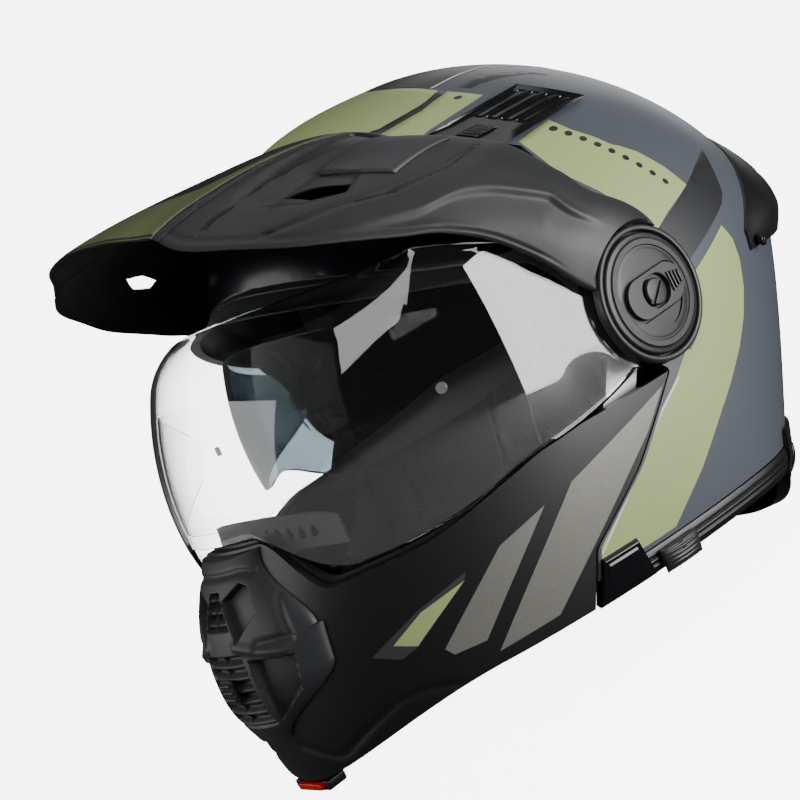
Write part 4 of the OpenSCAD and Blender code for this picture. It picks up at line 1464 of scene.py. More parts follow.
# Millimetres to one station, and to the peak's depth, on the flat the top face's relief is drawn on.
PEAK_SPREAD = np.array([17.0, 70.0])
@dataclass
class Peak:
    """Sun peak over the brow: top face with ridges and slots, printed graphics, painted shade in its wedge
    and groove, covers and rings.
    """

    thick: float = 2.6
    stations: np.ndarray = field(
        default_factory=lambda: np.array(
            [
                [0, 220, 34.7, 0, 150, 60], [26, 216, 34.6, 24, 147, 61], [43, 207, 34.5, 42, 139.5, 64],
                [51, 203, 34.3, 54, 132.5, 66], [62, 196, 32.6, 66, 126, 66.5],
                [76, 178, 32.8, 78, 118.5, 66.5],
                [91, 154, 33.6, 91, 108, 70], [106, 120, 37, 103, 95, 74.5],
                [113, 101, 40, 110, 87.5, 76.5],
                [120, 77, 41.3, 121, 65, 82], [125.8, 54, 37.3, 127, 49, 90],
                [129.6, 31.6, 25, 130.6, 31.6, 128],
            ]
        )
    )
    slot: Points = ((4.9, 0.28), (5.25, 0.35), (5.9, 0.37), (5.95, 0.31), (5.5, 0.26))
    ridge: Points = (
        (5.7, -0.05), (6.2, 0.05), (6.5, 0.10), (7.2, 0.20), (7.8, 0.32), (8.3, 0.42), (8.8, 0.50),
        (9.3, 0.60),
        (10.2, 0.54), (11, 0.5),
    )

    def station(self, s: Grid) -> Grid:
        """Return the six station values at s, along a smooth curve through the stations.

        Args:
            s: Station numbers, whole or between.

        Returns:
            X, radius and angle of the front and the rear edge.
        """
        mirror = self.stations[1].copy()
        mirror[[0, 3]] *= -1
        ends = 2 * self.stations[-1] - self.stations[-2]
        p = np.concatenate([[mirror], self.stations, [ends]])
        i = np.clip(np.floor(s).astype(int), 0, len(self.stations) - 2)
        f = (s - i)[..., None]
        a, b, c, d = p[i], p[i + 1], p[i + 2], p[i + 3]
        bend, twist = 2 * a - 5 * b + 4 * c - d, 3 * b - a - 3 * c + d
        return 0.5 * (2 * b + (c - a) * f + bend * f**2 + twist * f**3)

    def relief(self, s: Grid, v: Grid) -> Grid:
        """Return how far the top face stands above the plain surface.

        Args:
            s: Stations from the middle.
            v: Places from the front edge, 0, to the rear edge, 1.

        Returns:
            Heights in millimetres, negative where the face is sunk.
        """
        spots = np.stack([s, v], -1) * PEAK_SPREAD
        deep = v * PEAK_SPREAD[1]

        def sunk(depth: float, soft: float, *corners: Sequence[float]) -> Grid:
            """Return a pocket with these corners."""
            return -depth * smooth(inside(spots, np.array(corners) * PEAK_SPREAD) / soft)

        def scored(depth: float, wide: float, soft: float, *corners: Sequence[float]) -> Grid:
            """Return a score along these corners."""
            return -depth * smooth(wide - path_distance(spots, np.array(corners) * PEAK_SPREAD) / soft)

        crest = np.array(self.ridge) * PEAK_SPREAD
        rear = np.array([(11.5, 1.2), (5, 1.2), (4.2, 0.3), (5.0, -0.1)]) * PEAK_SPREAD
        above = inside(spots, np.concatenate([crest, rear]))
        reach = smooth((s - 5.6) / 1.2) * smooth((10.9 - s) / 1.2) * smooth(deep / 8)
        hollow = -1.5 * smooth(-above / 5) * (1 - smooth((-above - 6) / 22)) * reach
        crest_up = 0.5 * bell(path_distance(spots, crest), 3.5) * reach
        groove = scored(1.1, 1.6, 0.8, (5.3, 0.06), (6.55, 0.3), (7.0, 0.56), (7.1, 0.86))
        wedge = sunk(1.7, 1.2, (4.15, 0.04), (3.72, 0.5), (3.4, 0.97), (4.55, 0.97), (4.4, 0.5))
        ramp = sunk(1.5, 2.6, (4.55, 0.2), (4.8, 0.5), (5.9, 0.46), (6.1, 0.3), (5.5, 0.22))
        seam = scored(0.7, 1.5, 0.6, (3.2, -0.1), (3.42, 0.3), (3.2, 0.97))
        lip = -0.7 * bell(deep - 3, 0.8) * smooth((10.5 - s) / 1.0) * smooth((s - 3.0) / 0.4)
        return hollow + crest_up + groove + wedge + ramp + seam + lip

    def at(self, s: Grid, v: Grid, d: Grid | float = 0.0) -> Grid:
        """Return points of the peak.

        Args:
            s: Stations, negative to the wearer's right.
            v: Places from the front edge, 0, to the rear edge, 1.
            d: How far inwards.

        Returns:
            Points, with X, Y and Z on the last axis.
        """
        a = np.abs(s)
        p = self.station(a)
        bow = np.sin(np.pi * np.clip(v, 0, 1))
        side = np.clip((a - 5) / 4, 0, 1)
        bulge = 0.42 * a * bow * smooth((a - 4.6) / 0.9)
        x = mix(p[..., 0], p[..., 3], v) + np.where((a > 5) & (a < 11), bulge, 0)
        r = mix(p[..., 1], p[..., 4], v) - 9 * bow * np.clip(1 - a / 8, 0, 1) - d * (1 - 0.9 * side)
        q = np.radians(mix(p[..., 2], p[..., 5], v))
        x = (x - d * side) * np.where(s < 0, -1, 1)
        return np.stack([x, -r * np.cos(q), r * np.sin(q)], -1)

    def build(self) -> None:
        """Build the peak, its printed graphics, the painted shade in its wedge and groove, its covers and
        rings.
        """
        s = np.linspace(-11, 11, 331)[None, :]
        v = np.linspace(1, 0, 91)[:, None]
        s, v = np.broadcast_arrays(s, v)
        lift = self.relief(np.abs(s), v)
        rim = 0.7 * (np.abs(2 * v - 1) ** 60)
        piece = solid("peak_blade", self.at(s, v, rim - lift), self.at(s, v, self.thick - 0.4 * rim))
        cut(piece, [self.slot_tool(side) for side in Side])
        dress(piece, PEAK_PLASTIC, "face_bar", ["peak"], 50)
        graphics = (
            ("peak_green", MOSS, [(0.0, 0.0), (1.5, 0), (2.95, 0), (2.9, 0.12), (3.05, 0.28), (3.05, 0.6),
             (2.95, 0.96), (2.75, 0.96), (2.6, 0.62), (2.3, 0.48), (1.8, 0.34), (0, 0.2)]),
            # The next two are painted shade: flat black laid in the relief's sunk wedge and along its scored
            # groove.
            ("peak_wedge_shade", BLACK_PAINT, [(4.12, 0.06), (3.74, 0.5), (3.44, 0.95), (4.5, 0.95),
             (4.36, 0.5)]),
            ("peak_groove_shade", BLACK_PAINT, [(5.25, 0.07), (6.49, 0.3), (6.94, 0.56), (7.04, 0.85),
             (7.16, 0.85), (7.06, 0.56), (6.61, 0.3), (5.35, 0.07)]),
            ("peak_black", BLACK_PAINT, [(0, 0.2), (1.8, 0.34), (2.3, 0.48), (2.6, 0.62), (2.75, 0.96),
             (0, 0.97)]),
            ("peak_pin", BLACK_PAINT, [(2.97, 0), (3.14, 0), (3.34, 0.3), (3.28, 0.62), (3.13, 0.96),
             (2.98, 0.96), (3.1, 0.6), (3.1, 0.3)]),
        )
        for side in Side:
            for name, finish, corners in graphics:
                self.graphic(f"{name}_{side.tag}", corners, side, finish)
            self.cover(side)
            self.ring(side)

    def slot_tool(self, side: Side) -> Object:
        """Return a closed tool that cuts one side's slot.

        Args:
            side: Side of the helmet.

        Returns:
            The tool.
        """
        c = np.array(self.slot)
        over, under = (self.at(c[:, 0] * side.value, c[:, 1], d) for d in (-8.0, 12.0))
        return tidy(bridge(f"slot_tool_{side.tag}", over, under))

    def graphic(self, name: str, corners: Points, side: Side, finish: Finish) -> None:
        """Lay one flat coat on the peak's top face: a printed graphic, or painted shade in a hollow of the
        relief.

        Args:
            name: Name of the piece.
            corners: Stations and places of its corners.
            side: Side of the peak.
            finish: Its paint.
        """
        flat, faces = flat_fill(np.asarray(corners) * PEAK_SPREAD, 2.4)
        s, v = flat[:, 0] / PEAK_SPREAD[0], np.clip(flat[:, 1] / PEAK_SPREAD[1], 0.004, 0.996)
        lift = self.relief(s, v) - 0.7 * np.abs(2 * v - 1) ** 60
        top, under = (self.at(s * side.value, v, -lift + d) for d in (-0.14, 0.3))
        dress(slab(name, top, under, faces), finish, "face_bar", crease=70)

    def cover(self, side: Side) -> None:
        """Build the raised cover behind one slot.

        Args:
            side: Side of the helmet.
        """
        front, depth = 0.45, 0.47
        v = np.linspace(front + depth, front, 41)[:, None]
        k = np.linspace(0, 1, 37)[None, :]
        w = (v - front) / depth
        s = mix(mix(5.1, 4.9, w), 6.4, k)
        edge = np.minimum(np.minimum(w, 1 - w) * 33, np.minimum(k, 1 - k) * 24)
        lift = 0.7 + 1.5 * smooth(edge / 1.2 + 0.1)
        s, v = np.broadcast_arrays(s, v)
        if side is Side.RIGHT:
            s, v, lift = -s[:, ::-1], v[:, ::-1], lift[:, ::-1]
        base = self.relief(np.abs(s), v)
        outer = self.at(s, v, -lift - np.maximum(base, -0.9))
        piece = tidy(solid(f"slot_cover_{side.tag}", outer, self.at(s, v, -0.3 - np.minimum(base, 0))))
        dress(piece, VENT, "face_bar", [f"peak_cover_{side.tag}"], 50)

    def ring(self, side: Side) -> None:
        """Build the ring that carries the peak on the side pivot.

        Args:
            side: Side of the helmet.
        """
        x0, x1 = 125.6, 131.0
        profile = [(x0, 10.5), (x0, 30.4), (x0 + 0.6, 31), (x1 - 1.4, 31), (x1 - 0.5, 30.7), (x1 - 0.1, 30.1),
                   (x1, 29.4), (x1 - 0.2, 28.6), (x1 - 0.9, 28.1), (x0 + 1.7, 28.0), (x0 + 1.7, 10.5)]
        piece = lathe(f"peak_collar_{side.tag}", profile, 128, side)
        dress(piece, CAP, "face_bar", [f"peak_ring_{side.tag}"], 40)


@dataclass
class SidePivot:
    """Round cap, slanted slider and coin-slot screw on one side of the helmet."""

    side: Side
    cap_x: float = 127.6
    face_x: float = 131.8
    slant: float = 2.0
    tab_x: float = 130.4

    def turned(self, y: Grid, z: Grid) -> tuple[Grid, Grid]:
        """Turn a place on the cap's face by the slider's slant."""
        q = math.radians(self.slant)
        return y * math.cos(q) - z * math.sin(q), y * math.sin(q) + z * math.cos(q)

    def upright(self, name: str, x: float, y: Grid, z: Grid, thick: float) -> Object:
        """Return a plate square to the pivot axis."""
        at = np.full(len(y), x * self.side.value)
        return prism(name, np.stack([at, y, z], -1), (thick * self.side.value, 0, 0))

    def stadium(self, name: str, start: float, grow: float, x0: float, x1: float) -> Object:
        """Return a closed bar with round ends that lies along the slider's slant.

        Args:
            name: Name of the piece.
            start: How far its front end lies behind the slot's.
            grow: How much larger it is all round.
            x0: Where it starts, measured from the helmet's middle.
            x1: Where it ends.

        Returns:
            The object.
        """
        reach, r = 10.5, 9.5 + grow
        w = np.radians(np.linspace(-90, 90, 25))
        y = np.concatenate([reach + r * np.cos(w), start - reach - r * np.cos(w)])
        z = np.concatenate([r * np.sin(w), -r * np.sin(w)])
        return self.upright(name, x0, *self.turned(y, z), x1 - x0)

    def build(self) -> None:
        """Build cap, slider and screw."""
        tag, c, f = self.side.tag, self.cap_x, self.face_x
        profile = [(c, 10.15), (c, 27.0), (c + 0.4, 27.4), (f - 1.9, 27.4), (f - 1.2, 26.9), (f - 0.95, 26.2),
                   (f - 0.9, 24.9), (f - 0.5, 24.4), (f, 24.0), (f, 21.6), (f - 0.5, 21.2), (f - 0.5, 19.8),
                   (f - 0.1, 19.4), (f - 0.15, 2.8), (f - 3.8, 2.8), (f - 3.8, 10.15)]
        cap = lathe(f"cap_disc_{tag}", profile, 128, self.side)
        slot = self.stadium(f"cap_slot_{tag}", 0, 0.5, self.tab_x - 0.3, f + 2)
        w = np.radians(np.linspace(20, 78, 20))
        y = np.concatenate([17.2 * np.cos(w), (12.6 * np.cos(w))[::-1]])
        z = -np.concatenate([17.2 * np.sin(w), (12.6 * np.sin(w))[::-1]])
        cut(cap, [slot, self.upright(f"cap_arc_{tag}", f - 1.0, y, z, 3)])
        soften(cap, 0.25, 2)
        dress(cap, CAP, "shell", [f"pivot_cap_{tag}"], 35)
        self.slider()
        self.screw()

    def slider(self) -> None:
        """Build the slider in the cap with its four ribs."""
        tag, f = self.side.tag, self.face_x
        tab = self.stadium(f"slider_bar_{tag}", 3, -0.1, self.tab_x, f + 0.6)
        w = np.radians(np.linspace(0, 180, 19))
        y = np.concatenate([3 + 7.2 * np.sin(w), -7.2 * np.sin(w)])
        z = np.concatenate([7.2 * np.cos(w), -7.2 * np.cos(w)])
        cut(tab, [self.upright(f"slider_hole_{tag}", self.tab_x - 1, *self.turned(y, z), 6)])
        soften(tab, 0.4, 3)
        dress(tab, TAB, f"cap_tab_{tag}", [f"cap_tab_{tag}"], 35)
        for i in range(4):
            at, half = 10.6 + 2.1 * i, 4.6 - 0.5 * i
            y, z = np.array([at, at + 1.1, at + 1.1, at]), np.array([-half, -half, half, half])
            rib = self.upright(f"slider_rib_{i}_{tag}", f + 0.3, *self.turned(y, z), 1.3)
            soften(rib, 0.3, 2)
            dress(rib, TAB, f"cap_tab_{tag}")

    def screw(self) -> None:
        """Build the screw that holds the cap, with its coin slot."""
        tag, f, neck = self.side.tag, self.face_x, self.tab_x - 0.3
        profile = [(119.3, 0), (119.3, 2.4), (neck, 2.4), (neck, 6.2), (f + 1.2, 6.2), (f + 1.75, 5.9),
                   (f + 2, 5.3), (f + 2.1, 0)]
        screw = lathe(f"coin_screw_{tag}", profile, 72, self.side)
        q = math.radians(40)
        along, across = np.array([math.cos(q), math.sin(q)]), np.array([-math.sin(q), math.cos(q)])
        ring = np.array([along * a + across * b for a, b in ((-7, -0.9), (7, -0.9), (7, 0.9), (-7, 0.9))])
        cut(screw, [self.upright(f"coin_slot_{tag}", f + 0.9, ring[:, 0], ring[:, 1], 3)])
        soften(screw, 0.25, 2)
        dress(screw, CAP, "shell", ["cap_screws"] if self.side is Side.LEFT else [])


@dataclass
class Trims:
    """Black mouldings and rubber along the shell's edges, with the rear spoiler and crown vents."""

    rim: float = -100.0

    def brow_at(self, t: Grid) -> Grid:
        """Return the height of the brow edge at plan angle t."""
        return 76 - 30.5 * np.power(np.abs(t) / 59, 1.6)

    def build(self) -> None:
        """Build every trim."""
        self.brow_seal()
        self.nape()
        self.spoiler()
        for side in Side:
            self.rail(side)
            self.corner(side)
            self.vent(side)
            self.fastener(side)

    def brow_seal(self) -> None:
        """Build the brow seal, flared behind the shield and with a bead along each edge."""
        def flare(k: Grid, v: Grid) -> Grid:
            """Lean the seal outwards, most in the middle."""
            return 11 * smooth(v) * (1 - 0.75 * (2 * k - 1) ** 2)

        def bead(v: Grid) -> Grid:
            """Thicken both edges."""
            return 1.3 * bell(v - 0.9, 0.07) + 0.7 * bell(v - 0.12, 0.06)

        piece = patch("brow_lip", 140, 30, (-62, 62),
                      lambda k, v: self.brow_at(mix(-62, 62, k)) + mix(1.2, -9.5, v),
                      lambda k, v: -0.4 - flare(k, v) - bead(v), lambda k, v: 4.6 - flare(k, v) - 1.4 * v)
        dress(piece, RUBBER, "shell", ["brow_seal"], 60)

    def rail(self, side: Side) -> None:
        """Build the grooved rail along a side's lower rim.

        Args:
            side: Side of the helmet.
        """
        heights = (self.rim - 0.4, self.rim - 11)

        def out(k: Grid, v: Grid) -> Grid:
            """Bulge the rail, with two grooves that run out at its ends."""
            groove = (bell(v - 0.36, 0.06) + bell(v - 0.62, 0.06)) * smooth(k * 14) * smooth((1 - k) * 14)
            return -0.4 - 1.6 * arch(mix(0.05, 0.97, v), 0.6) + 0.9 * groove

        piece = patch("rail", 120, 36, lambda k, v: mix(edge_angle(mix(*heights, v)) + 0.6, 110, k),
                      heights, out, 4)
        piece = on_side(piece, side, f"rim_rail_{side.tag}")
        dress(piece, TRIM, "shell", [f"side_rail_{side.tag}"], 50)

    def corner(self, side: Side) -> None:
        """Build the block that closes the rail against the split.

        Args:
            side: Side of the helmet.
        """
        heights = (-92, -111.3)

        def out(k: Grid, v: Grid) -> Grid:
            """Round the block's rim and raise its middle."""
            edge = np.minimum(np.minimum(k, 1 - k) * 26, np.minimum(v, 1 - v) * 19)
            return -0.4 - 2.6 * smooth(edge / 1.6 + 0.2) - 0.5 * smooth((edge - 3) / 0.8)

        piece = patch("corner", 50, 40,
                      lambda k, v: edge_angle(mix(*heights, v)) + mix(0.35, 9.5 - 3.5 * (1 - v), k),
                      heights, out, 7)
        piece = on_side(piece, side, f"corner_block_{side.tag}")
        dress(piece, GLOSS, "shell", crease=50)

    def nape(self) -> None:
        """Build the nape trim with upright fins at its rear corners."""
        lip_share = 0.28

        def height(k: Grid, v: Grid) -> Grid:
            """Run from above the rim down to the trim's foot, which is lowest in the middle."""
            foot = mix(-34.9, -11, np.abs(2 * k - 1) ** 4)
            low = mix(-0.8, foot, (v - lip_share) / (1 - lip_share))
            return self.rim + np.where(v < lip_share, mix(7.2, -0.6, v / lip_share), low)

        def out(k: Grid, v: Grid) -> Grid:
            """Raise a lip and round the trim below its seam."""
            lip = 1.2 * smooth(v / 0.05) + 1.3 * np.sin(np.pi * np.clip(v * 1.1, 0, 1))
            return -0.5 - lip + 0.7 * bell(v - 0.24, 0.02)

        def fin_out(k: Grid, v: Grid) -> Grid:
            """Round one fin."""
            up, across = np.sin(np.pi * np.clip(v, 0.001, 0.999)), np.sin(np.pi * mix(0.1, 0.9, k))
            return -1.8 - 2.6 * np.power(up * across, 0.5)

        piece = patch("nape_band", 200, 60, (111, 249), height, out,
                      lambda k, v: np.where(v < lip_share, -0.4, 5.0))
        dress(piece, GLOSS, "shell", ["nape_trim"], 50)
        for sign in (-1, 1):
            for i in range(3):
                centre = 180 + sign * (44 + 7 * i)
                name = f"nape_fin_{i}_{'left' if sign < 0 else 'right'}"
                fin = patch(name, 10, 24, lambda k, v: centre + mix(-1.2, 1.2, k),
                            (-102, -116), fin_out, -1.6)
                dress(fin, GLOSS, "shell", crease=50)

    def spoiler(self) -> None:
        """Build the rear spoiler that flares out along its lower half."""
        def height(k: Grid, v: Grid) -> Grid:
            """Run from the arched top edge to the foot."""
            s = np.abs(2 * k - 1)
            return mix(mix(56, 0, s**2.2), mix(-10, -15, 1 - s), v)

        def out(k: Grid, v: Grid) -> Grid:
            """Flare the face, with a shut line across it."""
            fade = smooth((1 - np.abs(2 * k - 1)) * 5 + 0.1)
            shut = 1.2 * bell(v - 0.42, 0.03) * smooth((0.72 - np.abs(2 * k - 1)) * 8)
            return -0.5 - 0.5 * smooth(v / 0.04) - 5.6 * np.sin(np.radians(150 * v)) * fade + shut

        piece = patch("spoiler_wing", 180, 60, (110, 250), height, out, -0.3)
        dress(piece, TRIM, "shell", ["rear_spoiler"], 45)

    def vent(self, side: Side) -> None:
        """Build one crown vent with its throat ribs and thumb tab.

        Args:
            side: Side of the helmet.
        """
        def out(k: Grid, v: Grid) -> Grid:
            """Raise the frame and sink the throat between its ribs."""
            frame_up = np.maximum(k**8, np.abs(2 * v - 1) ** 5)
            throat = smooth((0.40 - np.abs(v - 0.5)) / 0.07)
            throat = throat * smooth((k - 0.42) / 0.05) * smooth((0.93 - k) / 0.04)
            ribs = bell(np.mod(v * 5, 1) - 0.5, 0.16)
            return -0.9 - 1.9 * frame_up * np.minimum(1, 0.25 + 3 * k) + throat * mix(0.55, -0.5, ribs)

        def tab_out(k: Grid, v: Grid) -> Grid:
            """Round the tab and groove it for the thumb."""
            across, down = (np.sin(np.pi * np.clip(x, 0.002, 0.998)) for x in (k, v))
            return -1.3 - 1.5 * np.power(across * down, 0.4) - 0.25 * np.cos(2 * np.pi * k * 5)

        piece = patch("vent_frame", 110, 60, lambda k, v: mix(mix(68, 80, v), mix(98.5, 106, v), k),
                      lambda k, v: mix(mix(104, 108, k), mix(86, 89.5, k), v), out, -0.3)
        piece = on_side(piece, side, f"vent_frame_{side.tag}")
        dress(piece, GLOSS, "shell", [f"crown_vent_{side.tag}"], 50)
        tab = patch("vent_tab", 24, 20, lambda k, v: mix(mix(75, 78, v), mix(81, 84, v), k),
                    (99, 94), tab_out, -1.2)
        tab = on_side(tab, side, f"vent_thumb_{side.tag}")
        dress(tab, TAB, f"crown_slider_{side.tag}", [f"crown_slider_{side.tag}"], 60)

    def fastener(self, side: Side) -> None:
        """Build the round head of one spoiler fastener.

        Args:
            side: Side of the helmet.
        """
        spot = SKIN.point(112.5, -8.0, -3.4)
        ahead = SKIN.point(112.5, -8.0, -6.0) - SKIN.point(112.5, -8.0, 0.0)
        ahead = ahead / np.linalg.norm(ahead)
        across = (side.value, 1, 1)
        name = f"spoiler_fastener_{side.tag}"
        head = rod(name, (spot - ahead * 0.2) * across, (spot + ahead * 2.1) * across, 3.1, 40)
        cut(head, [rod("socket", (spot + ahead * 1.2) * across, (spot + ahead * 4) * across, 1.4, 6)])
        soften(head, 0.4, 3)
        dress(head, DARK_STEEL, "shell", ["spoiler_screws"] if side is Side.LEFT else [])


@dataclass
class Inside:
    """Shock liner, comfort pads and retention straps."""

    depth: float = 40.0

    def fold(self, t: Grid) -> Grid:
        """Return how far a plan angle lies from the front, whichever side it is on."""
        return np.abs((np.asarray(t) + 180) % 360 - 180)

    def build(self) -> None:
        """Build liner, pads and straps."""
        self.liner()
        self.crown()
        self.roll()
        for side in Side:
            self.cheek(side)
            self.strap(side)
        self.buckle()

    def dome(self, name: str, low: Callable, outer: Callable, inner: Callable, cols: int,
             rows: int) -> Object:
        """Build a closed dome between two depths, from near the crown down to a given height.

        Args:
            name: Name of the piece.
            low: Height of the lower edge, from the plan angle.
            outer: Depth of the outer face, from plan angle, slant and share of the way down.
            inner: The same for the inner face.
            cols: Faces around.
            rows: Faces down.

        Returns:
            The object.
        """
        t = np.linspace(0, 360, cols, endpoint=False)[None, :]
        v = np.linspace(0, 1, rows + 1)[:, None]
        a = mix(2.0, SKIN.slant(low(t)), v)
        t, a = np.broadcast_arrays(t, a)

        def points(o: Grid) -> Grid:
            """Return the points at depth o."""
            up = (SKIN.crown - o) * np.cos(np.radians(np.minimum(a, 90)))
            return SKIN.point(t, np.where(a < 90, up, -(a - 90) * SKIN.skirt), o)

        return tidy(solid(name, points(outer(t, a, v)), points(inner(t, a, v)), closed=True, lid=True))

    def liner(self) -> None:
        """Build the bead-foam liner."""
        def low(t: Grid) -> Grid:
            """End at the brow in front and low behind."""
            return mix(81, -94, smooth((self.fold(t) - 62) / 24))

        def gap(t: Grid, a: Grid, v: Grid) -> Grid:
            """Leave room for the inner visor in front."""
            return 22 - 14 * smooth((self.fold(t) - 98) / 26) * smooth((a - 12) / 40)

        piece = self.dome("foam_liner", low, gap, lambda t, a, v: self.depth, 144, 50)
        dress(piece, FOAM, "shell", ["shock_liner"], 50)

    def crown(self) -> None:
        """Build the crown pad, quilted in channels."""
        def low(t: Grid) -> Grid:
            """End at the brow in front and above the cheek pads behind."""
            return mix(87, 6, smooth((self.fold(t) - 60) / 30))

        def inner(t: Grid, a: Grid, v: Grid) -> Grid:
            """Sink six channels and round the edge."""
            channel = bell(np.sin(np.radians(t * 3)), 0.16) * smooth((v - 0.3) / 0.2)
            return self.depth + 10 - 2.4 * channel - 5.2 * np.power(v, 30)

        piece = self.dome("crown_cushion", low, lambda t, a, v: self.depth + 3.8, inner, 180, 60)
        dress(piece, CLOTH, "shell", ["crown_pad"], 80)

    def cheek(self, side: Side) -> None:
        """Build one cheek pad: a crowned block with a sewn channel round its face.

        Args:
            side: Side of the helmet.
        """
        def inner(k: Grid, v: Grid) -> Grid:
            """Crown the face and sink its channel."""
            a, b = (np.sin(np.pi * mix(0.02, 0.98, x)) for x in (k, v))
            return self.depth + 6 + 13 * np.power(a * b, 0.36) - 1.8 * bell(np.minimum(a, b) - 0.42, 0.06)

        piece = patch("cheek", 70, 90, (66, 112), (-6, -96), self.depth + 5, inner)
        piece = on_side(piece, side, f"cheek_cushion_{side.tag}")
        dress(piece, CLOTH, "shell", [f"cheek_pad_{side.tag}"], 80)

    def roll(self) -> None:
        """Build the neck roll, piped along its length."""
        depth = 17.5

        def half(k: Grid, v: Grid) -> Grid:
            """Return half the roll's thickness."""
            end = arch(mix(0.03, 0.97, k), 0.3)
            return 7.6 * np.power(np.maximum(1 - np.abs(2 * v - 1) ** 2.4, 0), 0.5) * end + 0.4

        piece = patch("neck_cushion", 140, 30, (116, 244), (-94.4, -113), lambda k, v: depth - half(k, v),
                      lambda k, v: depth + half(k, v) - 1.2 * bell(v - 0.5, 0.05))
        dress(piece, CLOTH, "shell", ["neck_roll"], 80)

    def strap(self, side: Side) -> None:
        """Build one retention strap of woven webbing, hung along a quarter of an ellipse.

        Args:
            side: Side of the helmet.
        """
        wide, across, down, back = 22, 84, 46, 17
        a = np.radians(np.linspace(0, 76, 61))[:, None]
        w = np.linspace(-wide / 2, wide / 2, 23)[None, :]
        thin = 1.2 * np.power(np.maximum(1 - np.abs(w / 11.001) ** 8, 0), 0.5)

        def face(r: Grid) -> Grid:
            """Return one face, moved inwards by r."""
            x = (across - r) * np.cos(a)
            y = -6 - back * (1 - np.cos(a)) + w
            return np.stack([x + 0 * w, y, -84 - (down - r) * np.sin(a) + 0 * w], -1)

        piece = on_side(solid("strap", face(1.2 - thin), face(1.2 + thin)), side, f"strap_web_{side.tag}")
        tidy(piece)
        dress(piece, WEB, "shell", [f"chin_strap_{side.tag}"], 80)

    def buckle(self) -> None:
        """Build the buckle's frame and its lever."""
        body = plate("buckle_plate", (-20, -36, -131.5), (20, -10, -129.3), 3.5)
        cut(body, [plate("buckle_eye", (-15, -31, -133), (-8, -15, -127), 1.5)])
        soften(body, 0.6, 3)
        dress(body, STEEL, "shell", ["buckle_frame"])
        lever = plate("buckle_tongue", (-4, -33, -129), (16.6, -13, -126.6), 2.5)
        cut(lever, [plate("tongue_eye", (-1, -29, -131), (5, -17, -124), 1.2)])
        soften(lever, 0.6, 3)
        dress(lever, RED, "buckle_lever", ["buckle_lever"])


def plate(name: str, low: Sequence[float], high: Sequence[float], r: float) -> Object:
    """Make a level plate with round corners.

    Args:
        name: Name of the piece.
        low: Its lowest corner, in millimetres.
        high: Its highest corner.
        r: Radius of its corners.

    Returns:
        The object.
    """
    (x0, y0, z0), (x1, y1, z1) = low, high
    corners = ((x1 - r, y1 - r, 0), (x0 + r, y1 - r, 90), (x0 + r, y0 + r, 180), (x1 - r, y0 + r, 270))
    turns = [(cx, cy, math.radians(q0 + d)) for cx, cy, q0 in corners for d in range(0, 91, 15)]
    ring = [(cx + r * math.cos(q), cy + r * math.sin(q), z0) for cx, cy, q in turns]
    return prism(name, ring, (0, 0, z1 - z0))


def unreflected(tree: Tree) -> Socket:
    """Return 1 where the backdrop is looked at, straight or through the clear shield, and 0 elsewhere.

    Args:
        tree: The world's or the floor's nodes.

    Returns:
        The value socket.
    """
    path = add(tree, "LightPath").outputs
    seen = {0: path["Is Camera Ray"], 1: path["Is Transmission Ray"]}
    looked = add(tree, "Math", seen, operation="MAXIMUM")
    bounced = add(tree, "Math", {0: path["Glossy Depth"], 1: path["Diffuse Depth"]}, operation="ADD")
    plain = add(tree, "Math", {0: bounced.outputs[0], 1: 0.5}, operation="LESS_THAN")
    return add(tree, "Math", {0: looked.outputs[0], 1: plain.outputs[0]}, operation="MULTIPLY").outputs[0]


CARRIED: dict[str, Finish] = {
    "pivot_hub_left": HUB, "pivot_hub_right": HUB, "visor_arm_left": TRIM, "visor_arm_right": TRIM,
    "chin_arm_left": STEEL, "chin_arm_right": STEEL, "shield_plate_left": TRIM, "shield_plate_right": TRIM,
}


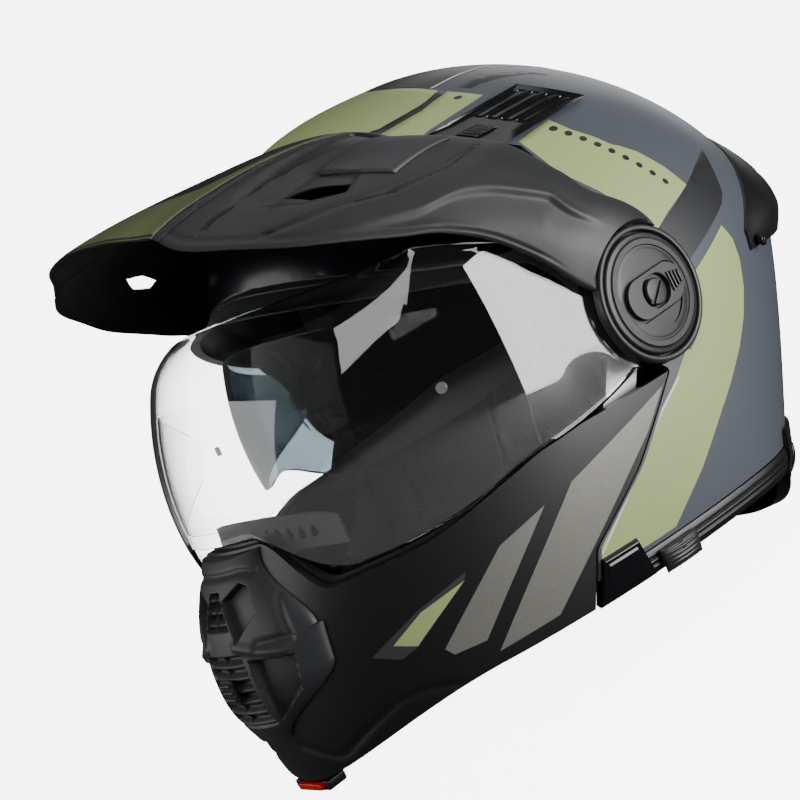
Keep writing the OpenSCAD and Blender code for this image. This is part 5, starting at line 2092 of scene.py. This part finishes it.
@dataclass
class Studio:
    """Camera, pale floor and softboxes."""

    azimuth: float = 53.995
    elevation: float = 1.975
    roll: float = -18.572
    shift_x: float = -36.4
    shift_y: float = -26.06
    reach: float = 820.25
    lens: float = 73.5
    lean: float = 9.0
    floor_reach: float = 4000.0
    floor_glow: float = 6.5
    backdrop: float = 7.0
    ambient: float = 0.16
    gloss_dim: float = 0.1
    boxes: Sequence[tuple] = (
        ("side_box", (0.582, 0.185, 0.16), 0.34, 0.33, 4.8),
        ("key_box", (1.0, -0.75, 0.9), 0.6, 0.6, 8, False),
        ("front_box", (-0.72, -1.43, 0.55), 2.0, 1.0, 15),
        ("top_box", (0.25, 0.35, 1.3), 0.9, 0.9, 3),
        ("back_box", (-0.6, 1.3, 0.7), 0.8, 0.8, 3),
    )

    def turned(self, v: Sequence[float]) -> np.ndarray:
        """Turn a vector from the camera's level frame to the resting helmet."""
        b = math.radians(self.lean)
        c, s = math.cos(b), math.sin(b)
        return np.array([v[0], v[1] * c + v[2] * s, v[2] * c - v[1] * s])

    def build(self) -> None:
        """Place the camera, the floor, the lights and the world."""
        az, el, ro = (math.radians(v) for v in (self.azimuth, self.elevation, self.roll))
        back = np.array([math.sin(az) * math.cos(el), -math.cos(az) * math.cos(el), math.sin(el)])
        right = np.cross([0, 0, 1], back)
        right /= np.linalg.norm(right)
        up = np.cross(back, right)
        r2 = math.cos(ro) * right + math.sin(ro) * up
        u2 = -math.sin(ro) * right + math.cos(ro) * up
        place = self.turned(back * self.reach + r2 * self.shift_x + u2 * self.shift_y) + SEAT
        axes = [self.turned(a) for a in (r2, u2, back)]
        data = bpy.data.cameras.new("camera")
        data.lens = self.lens
        data.sensor_width = 36
        data.clip_start = 0.01
        camera = bpy.data.objects.new("camera", data)
        rows = [[axes[j][i] for j in range(3)] + [place[i] * MM] for i in range(3)]
        camera.matrix_world = Matrix(rows + [[0, 0, 0, 1]])
        bpy.context.scene.collection.objects.link(camera)
        bpy.context.scene.camera = camera
        self.floor()
        self.world()
        for box in self.boxes:
            self.softbox(*box)

    def floor(self) -> None:
        """Lay a flat, pale, glowing sheet of paper."""
        rings, n = 12, 64
        w = np.linspace(0, 2 * math.pi, n, endpoint=False)
        points = [(0.0, 0.0, 0.0)]
        for i in range(1, rings + 1):
            r = self.floor_reach * (i / rings) ** 1.5
            points += [(r * math.cos(q), r * math.sin(q), 0.0) for q in w]
        faces = [[0, 1 + j, 1 + (j + 1) % n] for j in range(n)]
        for a in range(1, 1 + (rings - 1) * n, n):
            faces += [[a + j, a + n + j, a + n + (j + 1) % n, a + (j + 1) % n] for j in range(n)]
        sheet = mesh_piece("studio_floor", np.array(points) - SEAT, faces)
        material = bpy.data.materials.new("seamless_paper")
        material.use_nodes = True
        tree = material.node_tree
        shader = tree.nodes["Principled BSDF"]
        place = add(tree, "TexCoord").outputs["Object"]
        paper = tinted(tree, place, "#fafaf9", 0.006, 400)
        glow = add(tree, "Math", {0: unreflected(tree), 1: self.floor_glow}, operation="MULTIPLY").outputs[0]
        feed(tree, shader, {"Base Color": paper, "Roughness": 0.9})
        feed(tree, shader, {"Emission Color": hex_linear("#fbfbfb"), "Emission Strength": glow})
        sheet.data.materials.append(material)
        sheet.visible_glossy = False
        sheet.visible_diffuse = False

    def world(self) -> None:
        """Light the helmet evenly from all round, and show a bright backdrop where it is looked at."""
        world = bpy.data.worlds.new("studio")
        world.use_nodes = True
        tree = world.node_tree
        gloss = add(tree, "LightPath").outputs["Is Glossy Ray"]
        parts = {0: gloss, 1: -self.gloss_dim, 2: self.ambient}
        dim = add(tree, "Math", parts, operation="MULTIPLY_ADD").outputs[0]
        power = between(tree, unreflected(tree), dim, self.backdrop)
        feed(tree, tree.nodes["Background"], {"Color": hex_linear("#fbfbfb"), "Strength": power})
        bpy.context.scene.world = world

    def softbox(self, name: str, spot: Sequence[float], wide: float, high: float, watts: float,
                mirrored_in_gloss: bool = True) -> None:
        """Add one rectangular softbox that faces the helmet's middle.

        Args:
            name: Name of the lamp.
            spot: Where it stands, in metres.
            wide: Width in metres.
            high: Height in metres.
            watts: Power.
            mirrored_in_gloss: Whether glossy faces mirror it.
        """
        place = Vector(spot)
        data = bpy.data.lights.new(name, "AREA")
        data.shape = "RECTANGLE"
        data.size, data.size_y, data.energy = wide, high, watts
        lamp = bpy.data.objects.new(name, data)
        lamp.location = place
        lamp.visible_camera = False
        lamp.visible_glossy = mirrored_in_gloss
        lamp.rotation_euler = (Vector((0, 0, 0.14)) - place).to_track_quat("-Z", "Y").to_euler()
        bpy.context.scene.collection.objects.link(lamp)


def carry_over() -> None:
    """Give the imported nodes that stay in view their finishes."""
    for name, finish in CARRIED.items():
        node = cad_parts[name]
        node.data.materials.clear()
        node.data.materials.append(finish.material())
        LOG.info("%s kept", name)


def main() -> None:
    """Build the helmet piece by piece."""
    logging.basicConfig(level=logging.INFO, format="%(name)s: %(message)s")
    Studio().build()
    Shell().build()
    ChinBar().build()
    FaceShield().build()
    SunVisor().build()
    Peak().build()
    for side in Side:
        SidePivot(side).build()
    Trims().build()
    Inside().build()
    carry_over()


if __name__ == "__main__":
    main()
